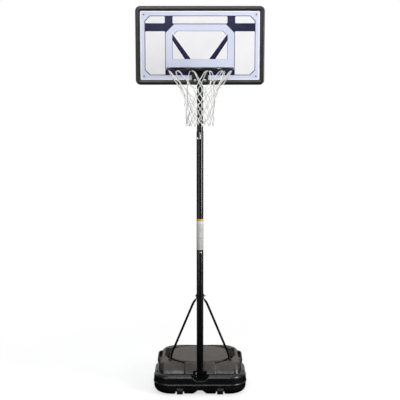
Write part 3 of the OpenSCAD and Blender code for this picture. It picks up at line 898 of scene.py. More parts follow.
# how far each point is from the tank's skin, negative inside; mm, pole axis at x = y = 0
def tankField(x, y, z, carved=True):
    def cut(body, shape, blend):
        return smoothMax(body, -shape, blend) if carved else body

    side = np.abs(x)
    fromPole = np.hypot(x, y)
    ledge = tank["ledge"]
    top = tank["top"]
    # lower tier, slimmer behind its front corners, its parting flange, and the gutter round the upper tier
    draw = 25 * np.clip((y - 95) / 70, 0, 1) * np.clip((z - 79) / 20, 0, 1)
    outline = outlineField(side + draw, y, *tank["lowerTier"])
    lower = roundedSlab(outline, z, 3, ledge, tank["belly"], tank["shoulder"])
    lower = lower - tank["flange"] * np.exp(-(((z - tank["flangeZ"]) / 3.8) ** 2))
    foot = outlineField(side, y, *tank["upperFoot"])
    gutter = ledge - 15 * np.exp(-(((foot - 9) / 12) ** 2))
    lower = cut(lower, gutter - z, 5)
    # upper tier leans back most at the front
    rise = np.clip(z - ledge + 4, 0, 80)
    lean = np.clip((230 - y) / 150, 0, 1)
    outline = outlineField(side, y - 0.30 * rise * lean, *tank["upperTier"]) + 0.12 * rise
    crown = top + 1.5 * (1 - (side / 270) ** 2)
    upper = roundedSlab(outline, z - crown + top, 100, top, 1, 15)
    # side wall and grip, scooped for the fingers
    skirt = roundedSlab(outlineField(side, y, *tank["sideWall"]), z, 100, 186, 1, 14)
    grip = roundedSlab(outlineField(side, y, *tank["grip"]), z, 151, 196, 17, 13)
    scoop = outlineField(np.abs(side - 275), y, *tank["fingerScoop"])
    scoop = roundedSlab(scoop, z, 162, 230, 6, 1)
    body = smoothMin(smoothMin(lower, upper, 10), smoothMin(skirt, grip, 8), 6)
    body = cut(body, scoop, 6)
    # front block, a little proud of the face
    face = 35 + 0.40 * (z - ledge)
    block = smoothMax(side - tank["blockWidth"], face - y, 8)
    block = smoothMax(block, z - top - 3, 8)
    block = np.maximum(np.maximum(block, y - 110), 118 - z)
    body = smoothMin(body, block, 7)
    # groove round the oval dish, shallow behind the front block, then the dish
    dishWide, dishDeep, dishY = tank["dish"]
    squared = (side * (dishDeep / dishWide)) ** 2.6 + np.abs(y - dishY) ** 2.6
    oval = squared ** (1 / 2.6)
    shallow = 7.5 * np.clip((102 - side) / 6, 0, 1) * (y < 150)
    groove = np.hypot(oval - dishDeep - 9 + shallow * 0.8, (z - top - 1) / 1.4) - tank["groove"] + shallow
    body = cut(body, groove, 4)
    dishTop = top + 1.5 + 6 * (1 - (oval / dishDeep) ** 2)
    dish = smoothMax(oval - dishDeep, z - dishTop, 6)
    body = smoothMin(body, np.maximum(dish, top - 20 - z), 3)
    # ribbed pockets along both sides of the dish
    pocketX, pocketWide, pocketY, pocketLong = tank["pocket"]
    outline = outlineField(
        np.abs(side - pocketX), y, pocketWide, pocketY - pocketLong, pocketY + pocketLong, 8, 8, 0
    )
    body = cut(body, roundedSlab(outline, z, top - 27, top + 30, 6, 1), 4)
    pitch = tank["ribPitch"]
    ribs = np.abs((y - pocketY + pitch / 2) % pitch - pitch / 2) - 3
    ribs = np.maximum(ribs, np.abs(side - pocketX) - pocketWide - 4)
    ribs = np.maximum(ribs, np.maximum(np.abs(y - pocketY) - pocketLong + 8, z - top + 4))
    body = smoothMin(body, np.maximum(ribs, 150 - z), 4)
    # bowl round the pole foot, notch through the lip, groove behind the pole
    floorRadius, brimRadius, floorZ = tank["bowl"]
    spread = floorRadius + (brimRadius - floorRadius) * (z - floorZ) / 46
    bowl = smoothMax(smoothMax(fromPole - spread, floorZ - z, 9), z - 145, 5)
    width = np.interp(z, tank["notchZ"], tank["notchWidth"])
    notch = smoothMax(smoothMax((side - width) * 0.75, floorZ - z, 5), y - 4, 4)
    channel = smoothMax(np.hypot(x, y - 8) - 26, floorZ - z, 5)
    hollow = smoothMin(smoothMin(bowl, notch, 6), channel, 3)
    body = cut(body, hollow, 5)
    # wheel wells with eased mouths, axle channel, arch under the pole
    well = np.abs(side - tank["wheelX"]) - tank["wellWidth"]
    mouth = np.maximum(np.maximum(well, y - 40), z - 52)
    turned = np.maximum(well, np.hypot(y, z - tank["axleZ"]) - 39)
    ease = np.maximum(np.maximum(well - (16 - z) * 0.7, z - 16), y - 40)
    body = cut(body, np.minimum(np.minimum(mouth, turned), ease), 3)
    slot = np.where(z < tank["axleZ"], np.abs(y), np.hypot(y, z - tank["axleZ"])) - 6.4
    body = np.maximum(body, -np.maximum(slot, side - 112))
    archWide, archHigh, archBack = tank["arch"]
    archTop = archHigh * (0.5 + 0.5 * np.cos(np.pi * np.clip(side / archWide, 0, 1)))
    arch = smoothMax((z - archTop) * 0.7, y - archBack, 6)
    body = smoothMax(body, -arch, 4)
    # hole for the pole, seat and neck for the filler cap
    body = smoothMax(body, tank["poleHole"] - fromPole, 2)
    fromCap = np.hypot(x, y - tank["capY"])
    body = smoothMax(body, -np.maximum(fromCap - tank["capSeat"], top + 3 - z), 2)
    body = smoothMax(body, -np.maximum(fromCap - tank["capNeck"], 150 - z), 1.5)
    # flat pad it stands on
    pad = outlineField(side, y, *tank["standingPad"])
    pad = np.maximum(np.maximum(pad, -z), z - 12)
    pad = np.maximum(pad, -np.minimum(np.minimum(ease, mouth), arch - 2))
    pad = np.maximum(pad, 24 - fromPole)
    pad = np.maximum(pad, -np.maximum(slot, side - 112))
    return smoothMin(body, pad, 2)


# one vertex in each cell the skin crosses, one face round each crossed edge
def skinField(field, low, cell):
    shape = np.array(field.shape) - 1
    total = np.zeros((*shape, 3))
    count = np.zeros(shape)
    index = np.indices(field.shape, dtype=float)
    crossings = []
    for axis in range(3):
        first = [slice(None)] * 3
        second = [slice(None)] * 3
        first[axis] = slice(0, -1)
        second[axis] = slice(1, None)
        a = field[tuple(first)]
        b = field[tuple(second)]
        crossed = (a < 0) != (b < 0)
        crossings.append((crossed, a < 0))
        share = np.where(crossed, a / np.where(crossed, a - b, 1), 0)
        others = [k for k in range(3) if k != axis]
        for du in (0, 1):
            for dv in (0, 1):
                cut = [slice(None)] * 3
                cut[others[0]] = slice(du, field.shape[others[0]] - 1 + du)
                cut[others[1]] = slice(dv, field.shape[others[1]] - 1 + dv)
                cut = tuple(cut)
                hit = crossed[cut]
                count += hit
                for k in range(3):
                    spot = index[k][tuple(first)][cut] + (share[cut] if k == axis else 0)
                    total[..., k] += np.where(hit, spot, 0)
    used = count > 0
    number = np.full(shape, -1)
    number[used] = np.arange(used.sum())
    verts = total[used] / count[used][:, None] * cell + np.array(low)
    faces = []
    for axis in range(3):
        crossed, inside = crossings[axis]
        u, v = [(axis + 1) % 3, (axis + 2) % 3]
        keep = [slice(None)] * 3
        keep[u] = slice(1, -1)
        keep[v] = slice(1, -1)
        spots = np.argwhere(crossed[tuple(keep)])
        spots[:, u] += 1
        spots[:, v] += 1
        quad = []
        for du, dv in ((-1, -1), (0, -1), (0, 0), (-1, 0)):
            near = spots.copy()
            near[:, u] += du
            near[:, v] += dv
            quad.append(number[near[:, 0], near[:, 1], near[:, 2]])
        quad = np.stack(quad, 1)
        flip = ~inside[spots[:, 0], spots[:, 1], spots[:, 2]]
        quad[flip] = quad[flip][:, ::-1]
        faces.append(quad)
    return verts, np.concatenate(faces)


# skins a field inside a box, then brings it from mm round the pole to its place
def meshField(field, low, high, cell):
    axes = [np.arange(a, b, cell) for a, b in zip(low, high)]
    x, y, z = np.meshgrid(*axes, indexing="ij", sparse=True)
    verts, faces = skinField(np.broadcast_to(field(x, y, z), [len(a) for a in axes]), low, cell)
    verts = verts * mm
    verts[:, 1] += poleY
    return verts, faces


def makeTank():
    verts, faces = meshField(tankField, (-322.0, -46.0, -4.0), (322.0, 502.0, 216.0), tank["cell"])
    mesh = bpy.data.meshes.new("tankShell")
    mesh.from_pydata(verts.tolist(), [], faces.tolist())
    mesh.materials.append(polyethylene)
    made = bpy.data.objects.new("tankShell", mesh)
    bpy.context.collection.objects.link(made)
    thin = made.modifiers.new("thin", "DECIMATE")
    thin.ratio = min(1.0, tank["triangles"] / (2 * len(faces)))
    freeze(made)
    # how far each point lies under the uncut body, which sets the painted shade in the hollows
    spots = np.empty(len(made.data.vertices) * 3)
    made.data.vertices.foreach_get("co", spots)
    spots = spots.reshape(-1, 3) / mm
    depth = -tankField(spots[:, 0], spots[:, 1] - poleY / mm, spots[:, 2], carved=False)
    shadeInHollows = made.data.attributes.new("recessShade", "FLOAT", "POINT")
    # painted shade: the deeper a point lies in a hollow, the darker it is coloured
    shadeInHollows.data.foreach_set("value", np.clip((depth - 1) / 5, 0, 0.92))
    shadeSmooth(made, 60)
    settle(made, "base", "tank_plastic", "base_tank")
    print("tank", len(faces), "cells,", len(made.data.polygons), "faces kept")


# water that fills the shell to just under its top, a wall's thickness inside
def makeWater():
    wall, front, blockSide, blockBack = tank["water"]
    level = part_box("ballast_water")[1].z / mm

    def waterField(x, y, z):
        block = np.maximum(np.abs(x) - blockSide, y - blockBack)
        field = np.maximum(tankField(x, y, z) + wall, np.maximum(z - level, front - y))
        return np.maximum(field, -block)

    verts, faces = meshField(waterField, (-324.0, 30.0, -2.0), (324.0, 500.0, 214.0), tank["waterCell"])
    made = makeObject("tankWaterBody", [(verts.tolist(), faces.tolist())], [tankWater], sharp=60)
    settle(made, "base", "water_fill", "ballast_water")


makeTank()
makeWater()


# wheels and axle

wheel = {"radius": 32.0, "width": 41.0, "bore": 6.08, "hub": 12.5, "web": 6.0, "ribs": 8, "tread": 24}


def makeWheel(name, node, body):
    centre = middle(node)
    half = wheel["width"] / 2
    profile = [
        (wheel["bore"], -half + 1), (wheel["hub"], -half + 1), (wheel["hub"] + 1.5, -wheel["web"]),
        (25, -wheel["web"]), (26, -half), (wheel["radius"] - 1.6, -half), (wheel["radius"], -half + 4),
        (wheel["radius"], -3), (wheel["radius"] - 1.4, 0), (wheel["radius"], 3),
        (wheel["radius"], half - 4), (wheel["radius"] - 1.6, half), (26, half), (25, wheel["web"]),
        (wheel["hub"] + 1.5, wheel["web"]), (wheel["hub"], half - 1), (wheel["bore"], half - 1)
    ]
    profile = [(r * mm, h * mm) for r, h in softCorners(profile, 1.2, 3)]
    disc = makeObject(name, [ringLathe(profile, centre, (1, 0, 0), 72)], [mouldedNylon], sharp=40)
    low = (-half + 5) * mm
    rib = makeObject(
        name + "Rib", [boxShape((low, -0.0012, 0.012), (-low, 0.0012, 0.0262))], [mouldedNylon],
        bevel=0.0005
    )
    turns = [(centre, (2 * math.pi * k / wheel["ribs"], 0, 0)) for k in range(wheel["ribs"])]
    ribs = repeatShape(name + "Ribs", rib, turns, mouldedNylon)
    lug = makeObject(
        name + "Lug", [boxShape((-half * mm + 0.005, -0.0016, 0.0308), (-0.0045, 0.0016, 0.0319))],
        [mouldedNylon], bevel=0.0003
    )
    step = 2 * math.pi / wheel["tread"]
    spots = [(centre, (step * k, 0, 0)) for k in range(wheel["tread"])]
    spots += [(centre, (step * (k + 0.5), 0, math.pi)) for k in range(wheel["tread"])]
    lugs = repeatShape(name + "Lugs", lug, spots, mouldedNylon)
    joined = joinObjects(name, [disc, ribs, lugs])
    shadeSmooth(joined, 40)
    settle(joined, body, "wheel_plastic", node)


makeWheel("leftWheelDisc", "wheel_left", "left_wheel")
makeWheel("rightWheelDisc", "wheel_right", "right_wheel")
easedNode("axle_rod", "base", "axle_steel", drawnSteel, 0.0009)
easedNode("axle_caps", "base", "axle_steel", zincPlate, 0.0008)
print("wheels ready")


# poles

pole = {"segments": 96, "edge": 0.0008}


# tube standing on Z, walls and both end edges eased
def tubeShape(outer, wall, low, high):
    profile = [(outer - wall, low), (outer, low), (outer, high), (outer - wall, high)]
    profile = softCorners(profile, pole["edge"], 4)
    return ringLathe(profile, (0, poleY, 0), segments=pole["segments"])


def makePoles():
    low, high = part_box("lower_pole")
    lower = makeObject("lowerTube", [tubeShape(poleRadius, 0.0015, low.z, high.z)], [powderCoat], sharp=40)
    settle(lower, "base", "black_tube", "lower_pole")
    low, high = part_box("middle_pole")
    joint = poleHigh.z
    profile = [
        (poleRadius - 0.0035, low.z), (poleRadius - 0.0016, low.z), (poleRadius - 0.0016, joint - 0.0005),
        (poleRadius - 0.0006, joint + 0.0003), (poleRadius, joint + 0.002), (poleRadius, high.z),
        (poleRadius - 0.002, high.z), (poleRadius - 0.002, joint + 0.004), (poleRadius - 0.0035, joint)
    ]
    profile = softCorners(profile, 0.0007, 3)
    middleTube = makeObject(
        "middleTube", [ringLathe(profile, (0, poleY, 0), segments=pole["segments"])], [powderCoat], sharp=40
    )
    settle(middleTube, "base", "black_tube", "middle_pole")
    low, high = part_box("upper_pole")
    radius = (high.x - low.x) / 2
    upper = makeObject("upperTube", [tubeShape(radius, 0.0016, low.z, high.z)], [powderCoat], sharp=40)
    settle(upper, "top", "black_tube", "upper_pole")


def makeLabel():
    low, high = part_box("height_label")
    radius = (high.x - low.x) / 2
    profile = [(radius - 0.0003, low.z), (radius, low.z), (radius, high.z), (radius - 0.0003, high.z)]
    profile = softCorners(profile, 0.0001, 2)
    made = makeObject(
        "wrapLabel", [ringLathe(profile, (0, poleY, 0), segments=pole["segments"])], [labelVinyl], sharp=40
    )
    settle(made, "base", "label_vinyl", "height_label")


makePoles()
makeLabel()
easedNode("pole_plug", "top", "cap_plastic", mouldedNylon, 0.0008)
print("poles ready")


# struts

strut = {
    "tube": 7.6,  # radius of the tube, mm
    "flat": 1.5,  # half thickness where it is flattened
    "tabWide": 11.0,  # half width of the upper and lower tabs
    "footWide": 13.5,
    "tabEnd": (24, 34),  # length of the flat, then of its change to round
    "footEnd": (30, 36),
    "sides": 28,
    "step": 0.006,
}


# steel tube from the pole to the tank, flattened at both ends
def makeStrut(name, node, side):
    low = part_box(node)[0]
    screwLow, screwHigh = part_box("foot_screws")
    footX = side * (screwHigh.x - 0.0065)
    footSpot = Vector((footX, (screwLow.y + screwHigh.y) / 2, low.z + strut["flat"] * mm))
    start = Vector((side * (poleRadius + 0.0016), poleY, middle("strut_bolt").z))
    run = footSpot - start
    heading = run.normalized()
    flatWay = Vector((run.x, run.y, 0)).normalized()
    upperBend = start + Vector((0, 0, -0.022))
    lowerBend = footSpot - flatWay * 0.016 + Vector((0, 0, 0.004))
    spots = [
        start + Vector((0, 0, 0.0112)), start, upperBend, start + heading * 0.055,
        start + heading * (run.length * 0.5), start + heading * (run.length - 0.055), lowerBend, footSpot,
        footSpot + flatWay * 0.0135
    ]
    # even steps along the path, eased at the bends
    fine = []
    for a, b in zip(spots, spots[1:]):
        steps = min(14, max(3, int((b - a).length / strut["step"])))
        fine += [a.lerp(b, k / steps) for k in range(steps)]
    fine.append(spots[-1])
    for _ in range(3):
        fine = (
            [fine[0]]
            + [(fine[i - 1] + fine[i] * 2 + fine[i + 1]) / 4 for i in range(1, len(fine) - 1)]
            + [fine[-1]]
        )
    rows = []
    lengths = [0.0]
    for a, b in zip(fine, fine[1:]):
        lengths.append(lengths[-1] + (b - a).length)
    total = lengths[-1]
    for i, spot in enumerate(fine):
        ahead = (fine[min(i + 1, len(fine) - 1)] - fine[max(i - 1, 0)]).normalized()
        fromTop = lengths[i] / mm
        fromFoot = (total - lengths[i]) / mm
        thin = Vector((side, 0, 0)).lerp(Vector((0, 0, 1)), lengths[i] / total)
        thin = (thin - ahead * thin.dot(ahead)).normalized()
        wide = ahead.cross(thin)
        topFlat, topChange = strut["tabEnd"]
        footFlat, footChange = strut["footEnd"]
        topShare = np.clip((fromTop - topFlat) / topChange, 0, 1)
        share = min(topShare, np.clip((fromFoot - footFlat) / footChange, 0, 1))
        share = share * share * (3 - 2 * share)
        flatWide = strut["tabWide"] if fromTop < fromFoot else strut["footWide"]
        halfWide = flatWide + (strut["tube"] - flatWide) * share
        halfThin = strut["flat"] + (strut["tube"] - strut["flat"]) * share
        # round the two tab ends off
        end = min(fromTop, fromFoot)
        if end < flatWide:
            halfWide = halfWide * math.sqrt(max(0.02, 1 - (1 - end / flatWide) ** 2))
        row = []
        power = 0.35 + 0.65 * share
        for k in range(strut["sides"]):
            angle = 2 * math.pi * k / strut["sides"]
            c, s = math.cos(angle), math.sin(angle)
            row.append(
                spot
                + wide * (math.copysign(abs(c) ** power, c) * halfWide * mm)
                + thin * (math.copysign(abs(s) ** power, s) * halfThin * mm)
            )
        rows.append(row)
    made = makeObject(name, [skin(rows, cap=True)], [powderCoat], sharp=55)
    settle(made, "base", "black_tube", node)


makeStrut("leftStrut", "strut_left", -1)
makeStrut("rightStrut", "strut_right", 1)
print("struts ready")


# fasteners

fastener = {
    "pitch": 1.25,
    "thread": 0.35,
    "rimHead": 0.008,  # radius of the rim bolts' washers
    "hexHalf": 0.0065,  # half of a hexagon head across its flats
    "plateHead": (0.008, 0.0044),  # radius and height of each domed head
    "crossHead": (0.006, 0.004),
    "jointHead": (0.0065, 0.0042),
    "jointTurn": 15,  # degrees the joint bolt sits off the front
    "tabs": 0.0031,  # thickness of a strut's tab on the pole
}


# hexagon with eased top corners, standing on Z
def hexShape(radius, height, base=0.0):
    profile = [(0, base), (radius, base), (radius, base + height * 0.82), (radius * 0.86, base + height)]
    profile.append((0, base + height))
    return lathe(profile, (0, 0, 0), segments=6)


def discShape(radius, low, high, segments=32, soft=0.0004):
    profile = softCorners([(0, low), (radius, low), (radius, high), (0, high)], soft, 3, closed=False)
    return lathe(profile, (0, 0, 0), segments=segments)


# threaded shank from low to high, ridges one pitch apart
def threadShape(radius, low, high):
    profile = [(0, low), (radius - 0.0005, low)]
    pitch = fastener["pitch"] * mm
    turns = int((high - low) / pitch)
    for k in range(turns):
        profile.append((radius - fastener["thread"] * mm, low + pitch * (k + 0.15)))
        profile.append((radius, low + pitch * (k + 0.6)))
    profile += [(radius - 0.0006, high), (0, high)]
    return lathe(profile, (0, 0, 0), segments=20)


# unit fasteners stand on Z = 0, pointing away from what they hold
def hexBolt(name):
    shapes = [discShape(0.0088, 0, 0.0013), hexShape(0.0072, 0.0046, 0.0013)]
    return makeObject(name, shapes, [zincPlate], sharp=30, bevel=0.00035)


def hexNut(name, tail):
    shapes = [discShape(0.0085, 0, 0.0012), hexShape(0.0073, 0.0055, 0.0012)]
    shapes.append(threadShape(0.004, 0.004, 0.0062 + tail))
    return makeObject(name, shapes, [zincPlate], sharp=30, bevel=0.0003)


# round head with a shallow dome
def domeBolt(name, radius, height):
    profile = [(0, 0), (radius, 0)]
    profile += [
        (radius * math.cos(a), height * (0.25 + 0.75 * math.sin(a)))
        for a in np.linspace(0.05, math.pi / 2 - 0.08, 8)
    ]
    profile.append((0, height))
    return makeObject(name, [lathe(profile, (0, 0, 0), segments=40)], [zincPlate], sharp=50)


towardFront = (math.pi / 2, 0, 0)  # Z turned to -Y
towardBack = (-math.pi / 2, 0, 0)
towardLeft = (0, -math.pi / 2, 0)
towardRight = (0, math.pi / 2, 0)


def makeRimFasteners():
    low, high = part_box("rim_bolts")
    xs = (low.x + fastener["rimHead"], high.x - fastener["rimHead"])
    zs = (low.z + fastener["rimHead"], high.z - fastener["rimHead"])
    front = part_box("rim_plate")[0].y
    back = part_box("rim_nuts")[0].y
    heads = [(Vector((x, front, z)), towardFront) for x in xs for z in zs]
    placeSet("rimBoltHeads", hexBolt("rimBoltUnit"), heads, "rim_bolts")
    nuts = [(Vector((x, back, z)), towardBack) for x in xs for z in zs]
    placeSet("rimNutSet", hexNut("rimNutUnit", 0.003), nuts, "rim_nuts")


def makeBracketFasteners():
    low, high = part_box("bracket_bolts")
    heights = (low.z + fastener["hexHalf"], high.z - fastener["hexHalf"])
    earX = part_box("bracket_nuts")[0].x
    heads = [(Vector((-earX, poleY, z)), towardLeft) for z in heights]
    placeSet("bracketBoltHeads", hexBolt("bracketBoltUnit"), heads, "bracket_bolts")
    nuts = [(Vector((earX, poleY, z)), towardRight) for z in heights]
    placeSet("bracketNutSet", hexNut("bracketNutUnit", 0.003), nuts, "bracket_nuts")
    low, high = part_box("plate_bolts")
    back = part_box("plate_nuts")[0].y
    lift = (low.z + high.z) / 2
    radius, height = fastener["plateHead"]
    xs = (low.x + radius, high.x - radius)
    heads = [(Vector((x, low.y + 0.0045, lift)), towardFront) for x in xs]
    placeSet("plateBoltHeads", domeBolt("plateBoltUnit", radius, height), heads, "plate_bolts", sharp=40)
    nuts = [(Vector((x, back, lift)), towardBack) for x in xs]
    placeSet("plateNutSet", hexNut("plateNutUnit", 0.0025), nuts, "plate_nuts")
    low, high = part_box("cross_screws")
    radius, height = fastener["crossHead"]
    xs = (low.x + radius, high.x - radius)
    heads = [(Vector((x, high.y - height, (low.z + high.z) / 2)), towardBack) for x in xs]
    placeSet("crossScrewHeads", domeBolt("crossScrewUnit", radius, height), heads, "cross_screws", sharp=40)


def makePoleFasteners():
    shank = [(middle("strut_bolt"), towardRight)]
    unit = makeObject(
        "strutShank", [threadShape(0.004, 0.02, 0.0378), discShape(0.0039, -0.03, 0.03)], [zincPlate]
    )
    rod = repeatShape("strutRod", unit, shank, zincPlate)
    head = repeatShape(
        "strutHead", hexBolt("strutHeadUnit"),
        [(Vector((-poleRadius - fastener["tabs"], poleY, middle("strut_bolt").z)), towardLeft)], zincPlate
    )
    bolt = joinObjects("strutThroughBolt", [rod, head])
    shadeSmooth(bolt, 30)
    settle(bolt, "base", "zinc_steel", "strut_bolt")
    spot = Vector((poleRadius + fastener["tabs"], poleY, middle("strut_nut").z))
    placeSet("strutLockNut", hexNut("strutNutUnit", 0.004), [(spot, towardRight)], "strut_nut", "base")
    low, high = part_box("foot_screws")
    footY = (low.y + high.y) / 2
    footX = high.x - fastener["hexHalf"]
    spots = [(Vector((s * footX, footY, high.z - 0.0045)), (0, 0, 0.3 * s)) for s in (-1, 1)]
    unit = makeObject(
        "footUnit", [discShape(0.0085, 0, 0.001), hexShape(0.0062, 0.0034, 0.001)], [electroCoat],
        bevel=0.0003
    )
    placeSet("footScrewHeads", unit, spots, "foot_screws", "base", electroCoat)
    # joint bolt, turned a little off the front
    turn = math.radians(fastener["jointTurn"])
    front = Vector((math.sin(turn), -math.cos(turn), 0))
    lift = middle("joint_bolt").z
    spot = Vector((0, poleY, lift)) + front * (poleRadius - 0.0003)
    head = domeBolt("jointUnit", *fastener["jointHead"])
    placeSet("jointBoltHead", head, [(spot, (math.pi / 2, 0, turn))], "joint_bolt", "base", sharp=40)
    spot = Vector((0, poleY, lift)) - front * poleRadius
    nut = hexNut("jointNutUnit", 0.003)
    placeSet("jointLockNut", nut, [(spot, (-math.pi / 2, 0, turn))], "joint_nut", "base")


makeRimFasteners()
makeBracketFasteners()
makePoleFasteners()


# hooked clamp bolt: one bent rod with a thread on its straight leg
clamp = {
    "rod": 0.004,
    "tip": 0.0205,  # thread's tip ahead of the pole's axis
    "reach": 0.038,  # where the rod starts to bend down
    "bend": 0.006,
    "drop": 0.026,  # from the axis to the middle of the hook
    "hook": 0.008,
    "thread": (0.0049, 0.0165),
}


def makeClamp():
    lift = middle("clamp_boss").z
    front = poleY - clamp["tip"]
    bendY = poleY - clamp["reach"]
    bend = clamp["bend"]
    hook = clamp["hook"]
    path = [(0, front - 0.002, lift), (0, bendY, lift)]
    for k in range(1, 7):
        a = math.pi / 2 * k / 6
        path.append((0, bendY - bend * math.sin(a), lift - bend + bend * math.cos(a)))
    for k in range(13):
        a = math.pi * k / 12
        path.append((-hook + hook * math.cos(a), bendY - bend, lift - clamp["drop"] - hook * math.sin(a)))
    path.append((-2 * hook, bendY - bend, lift - clamp["drop"] + 0.0055))
    rod = cordShape("clampRod", [path], clamp["rod"], 24, zincPlate)
    radius, length = clamp["thread"]
    thread = makeObject("clampThread", [threadShape(radius, 0.0, length)], [zincPlate], sharp=30)
    thread = repeatShape("clampScrew", thread, [(Vector((0, front, lift)), towardFront)], zincPlate)
    made = joinObjects("clampHandle", [rod, thread])
    shadeSmooth(made, 45)
    settle(made, "clamp", "zinc_steel", "clamp_bolt")
    easedNode("clamp_boss", "base", "zinc_steel", zincPlate, 0.0006)


makeClamp()
print("fasteners ready")


# filler cap

fillerCap = {
    "grips": 18,
    # radius and height above the seat, m
    "rim": [
        (0, 0.0015), (0.0205, 0.0015), (0.022, 0.0025), (0.022, 0.0065), (0.0205, 0.0075),
        (0.0165, 0.0072), (0.0155, 0.0060), (0, 0.0060),
    ],
    "stem": [(0, -0.016), (0.0166, -0.016), (0.0169, 0.0016), (0, 0.0016)],
    "bar": [(-0.017, 0.0058), (0.017, 0.0058), (0.0145, 0.0132), (-0.0145, 0.0132)],
}


def makeCap():
    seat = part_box("fill_cap")[0].z + 0.016
    spot = Vector((0, middle("fill_cap").y, seat))
    profile = softCorners(fillerCap["rim"], 0.0008, 3, closed=False)
    disc = makeObject("capDisc", [lathe(profile, spot, segments=72)], [mouldedNylon], sharp=45)
    plug = softCorners(fillerCap["stem"], 0.001, 3, closed=False)
    stem = makeObject("capStem", [lathe(plug, spot, segments=48)], [mouldedNylon], sharp=45)
    grip = boxShape((0.0212, -0.0014, 0.002), (0.0231, 0.0014, 0.0064))
    rib = makeObject("capGripUnit", [grip], [mouldedNylon], bevel=0.0005)
    turns = [(spot, (0, 0, 2 * math.pi * k / fillerCap["grips"])) for k in range(fillerCap["grips"])]
    grips = repeatShape("capGrips", rib, turns, mouldedNylon)
    bar = softCorners(fillerCap["bar"], 0.0025, 4)
    handle = makeObject(
        "capBar", [plate(bar, spot.y - 0.0028, spot.y + 0.0028, (0, seat))], [mouldedNylon], bevel=0.0009,
        steps=3
    )
    made = joinObjects("fillerCapTop", [disc, stem, grips, handle])
    shadeSmooth(made, 45)
    settle(made, "filler_cap", "cap_plastic", "fill_cap")
    easedNode("cap_seal", "filler_cap", "seal_rubber", sealRubber, 0.0003)


makeCap()


# backboard

board = {
    "band": 0.032,
    "outerCorner": 0.032,
    "innerCorner": 0.006,
    "cornerSteps": 12,
    # across the band from the outer edge, and depth from the front face, mm
    "profile": [
        (1.2, 33.0), (0.0, 30.0), (0.0, 9.0), (1.2, 5.2), (4.0, 2.6), (9.0, 0.8), (16.0, 0.0),
        (23.0, 0.7), (28.0, 2.0), (30.8, 3.4), (32.0, 4.2), (32.0, 8.4), (30.5, 9.0), (30.5, 33.0),
        (29.3, 34.0), (2.4, 34.0),
    ],
}


def rectPath(width, height, corner, steps, centreZ):
    path = []
    corners = [(1, 1, 0), (-1, 1, 90), (-1, -1, 180), (1, -1, 270)]
    for sx, sz, start in corners:
        for k in range(steps + 1):
            a = math.radians(start + 90 * k / steps)
            path.append(
                (
                    sx * (width / 2 - corner) + corner * math.cos(a),
                    centreZ + sz * (height / 2 - corner) + corner * math.sin(a)
                )
            )
    return path


def makeBoardFrame():
    width = boardHigh.x - boardLow.x
    height = boardHigh.z - boardLow.z
    centreZ = (boardLow.z + boardHigh.z) / 2
    steps = board["cornerSteps"]
    outer = rectPath(width, height, board["outerCorner"], steps, centreZ)
    inner = rectPath(
        width - 2 * board["band"], height - 2 * board["band"], board["innerCorner"], steps, centreZ
    )
    rows = []
    for (ox, oz), (ix, iz) in zip(outer, inner):
        row = []
        for across, depth in softCorners(board["profile"], 0.8, 2):
            share = across * mm / board["band"]
            row.append((ox + (ix - ox) * share, boardLow.y + depth * mm, oz + (iz - oz) * share))
        rows.append(row)
    shapes = [skin(rows, closeRows=True)]
    # pad the rim plate bolts on
    padHigh = boardLow.z + board["band"] + 0.066
    shapes.append(boxShape((-0.048, boardLow.y + 0.0003, boardLow.z + 0.02), (0.048, boardHigh.y, padHigh)))
    # corner gussets behind the panel
    reach = 0.062
    for sx in (-1, 1):
        for sz in (-1, 1):
            cx = sx * (width / 2 - board["band"] + 0.001)
            cz = centreZ + sz * (height / 2 - board["band"] + 0.001)
            outline = [(cx, cz), (cx - sx * reach, cz), (cx, cz - sz * reach)]
            shapes.append(plate(outline, panelHigh.y + 0.0002, panelHigh.y + 0.008))
    # ribs that stiffen the open back
    for k in range(-5, 6):
        x = k * 0.065
        if abs(x) < 0.055:
            continue
        for low, high in (
            (boardLow.z + board["band"] - 0.001, boardLow.z + board["band"] + 0.012),
            (boardHigh.z - board["band"] - 0.012, boardHigh.z - board["band"] + 0.001)
        ):
            near = (x - 0.0012, panelHigh.y + 0.0002, low)
            shapes.append(boxShape(near, (x + 0.0012, boardHigh.y - 0.001, high)))
    made = makeObject("boardSurround", shapes, [polypropylene], sharp=35)
    settle(made, "top", "frame_plastic", "board_frame")


makeBoardFrame()

# printed pattern, in mm from the panel's middle line and up from its middle
pattern = {
    "octagon": (348, 185, 32),  # half width, half height, corner cut
    "barX": (172, 219),
    "barZ": (88, 136),
    "line": 4.0,
    "margin": 6,  # white border round the printed field
    "square": (215, -144, 131, 52),  # half width, bottom, top, corner cut
    "window": (174, -85, 91, 30),
    "stripe": [(173, 73), (173, 31), (96, -84), (57, -84)],
    "stripeEdge": [(173, 80), (173, 22), (103, -84), (50, -84)],  # white line on both sides of the stripe
    "step": 0.0003,  # each ink layer stands this far in front of the last
}


def cutRect(left, bottom, right, top, cuts):
    # cuts: bottom left, bottom right, top right, top left
    a, b, c, d = cuts
    points = [(left + a, bottom), (right - b, bottom), (right, bottom + b), (right, top - c)]
    points += [(right - c, top), (left + d, top), (left, top - d), (left, bottom + a)]
    kept = []
    for p in points:
        if not kept or (Vector(p) - Vector(kept[-1])).length > 0.01:
            kept.append(p)
    if (Vector(kept[0]) - Vector(kept[-1])).length < 0.01:
        kept.pop()
    return kept


def mirrored(points):
    return [(-x, z) for x, z in reversed(points)]


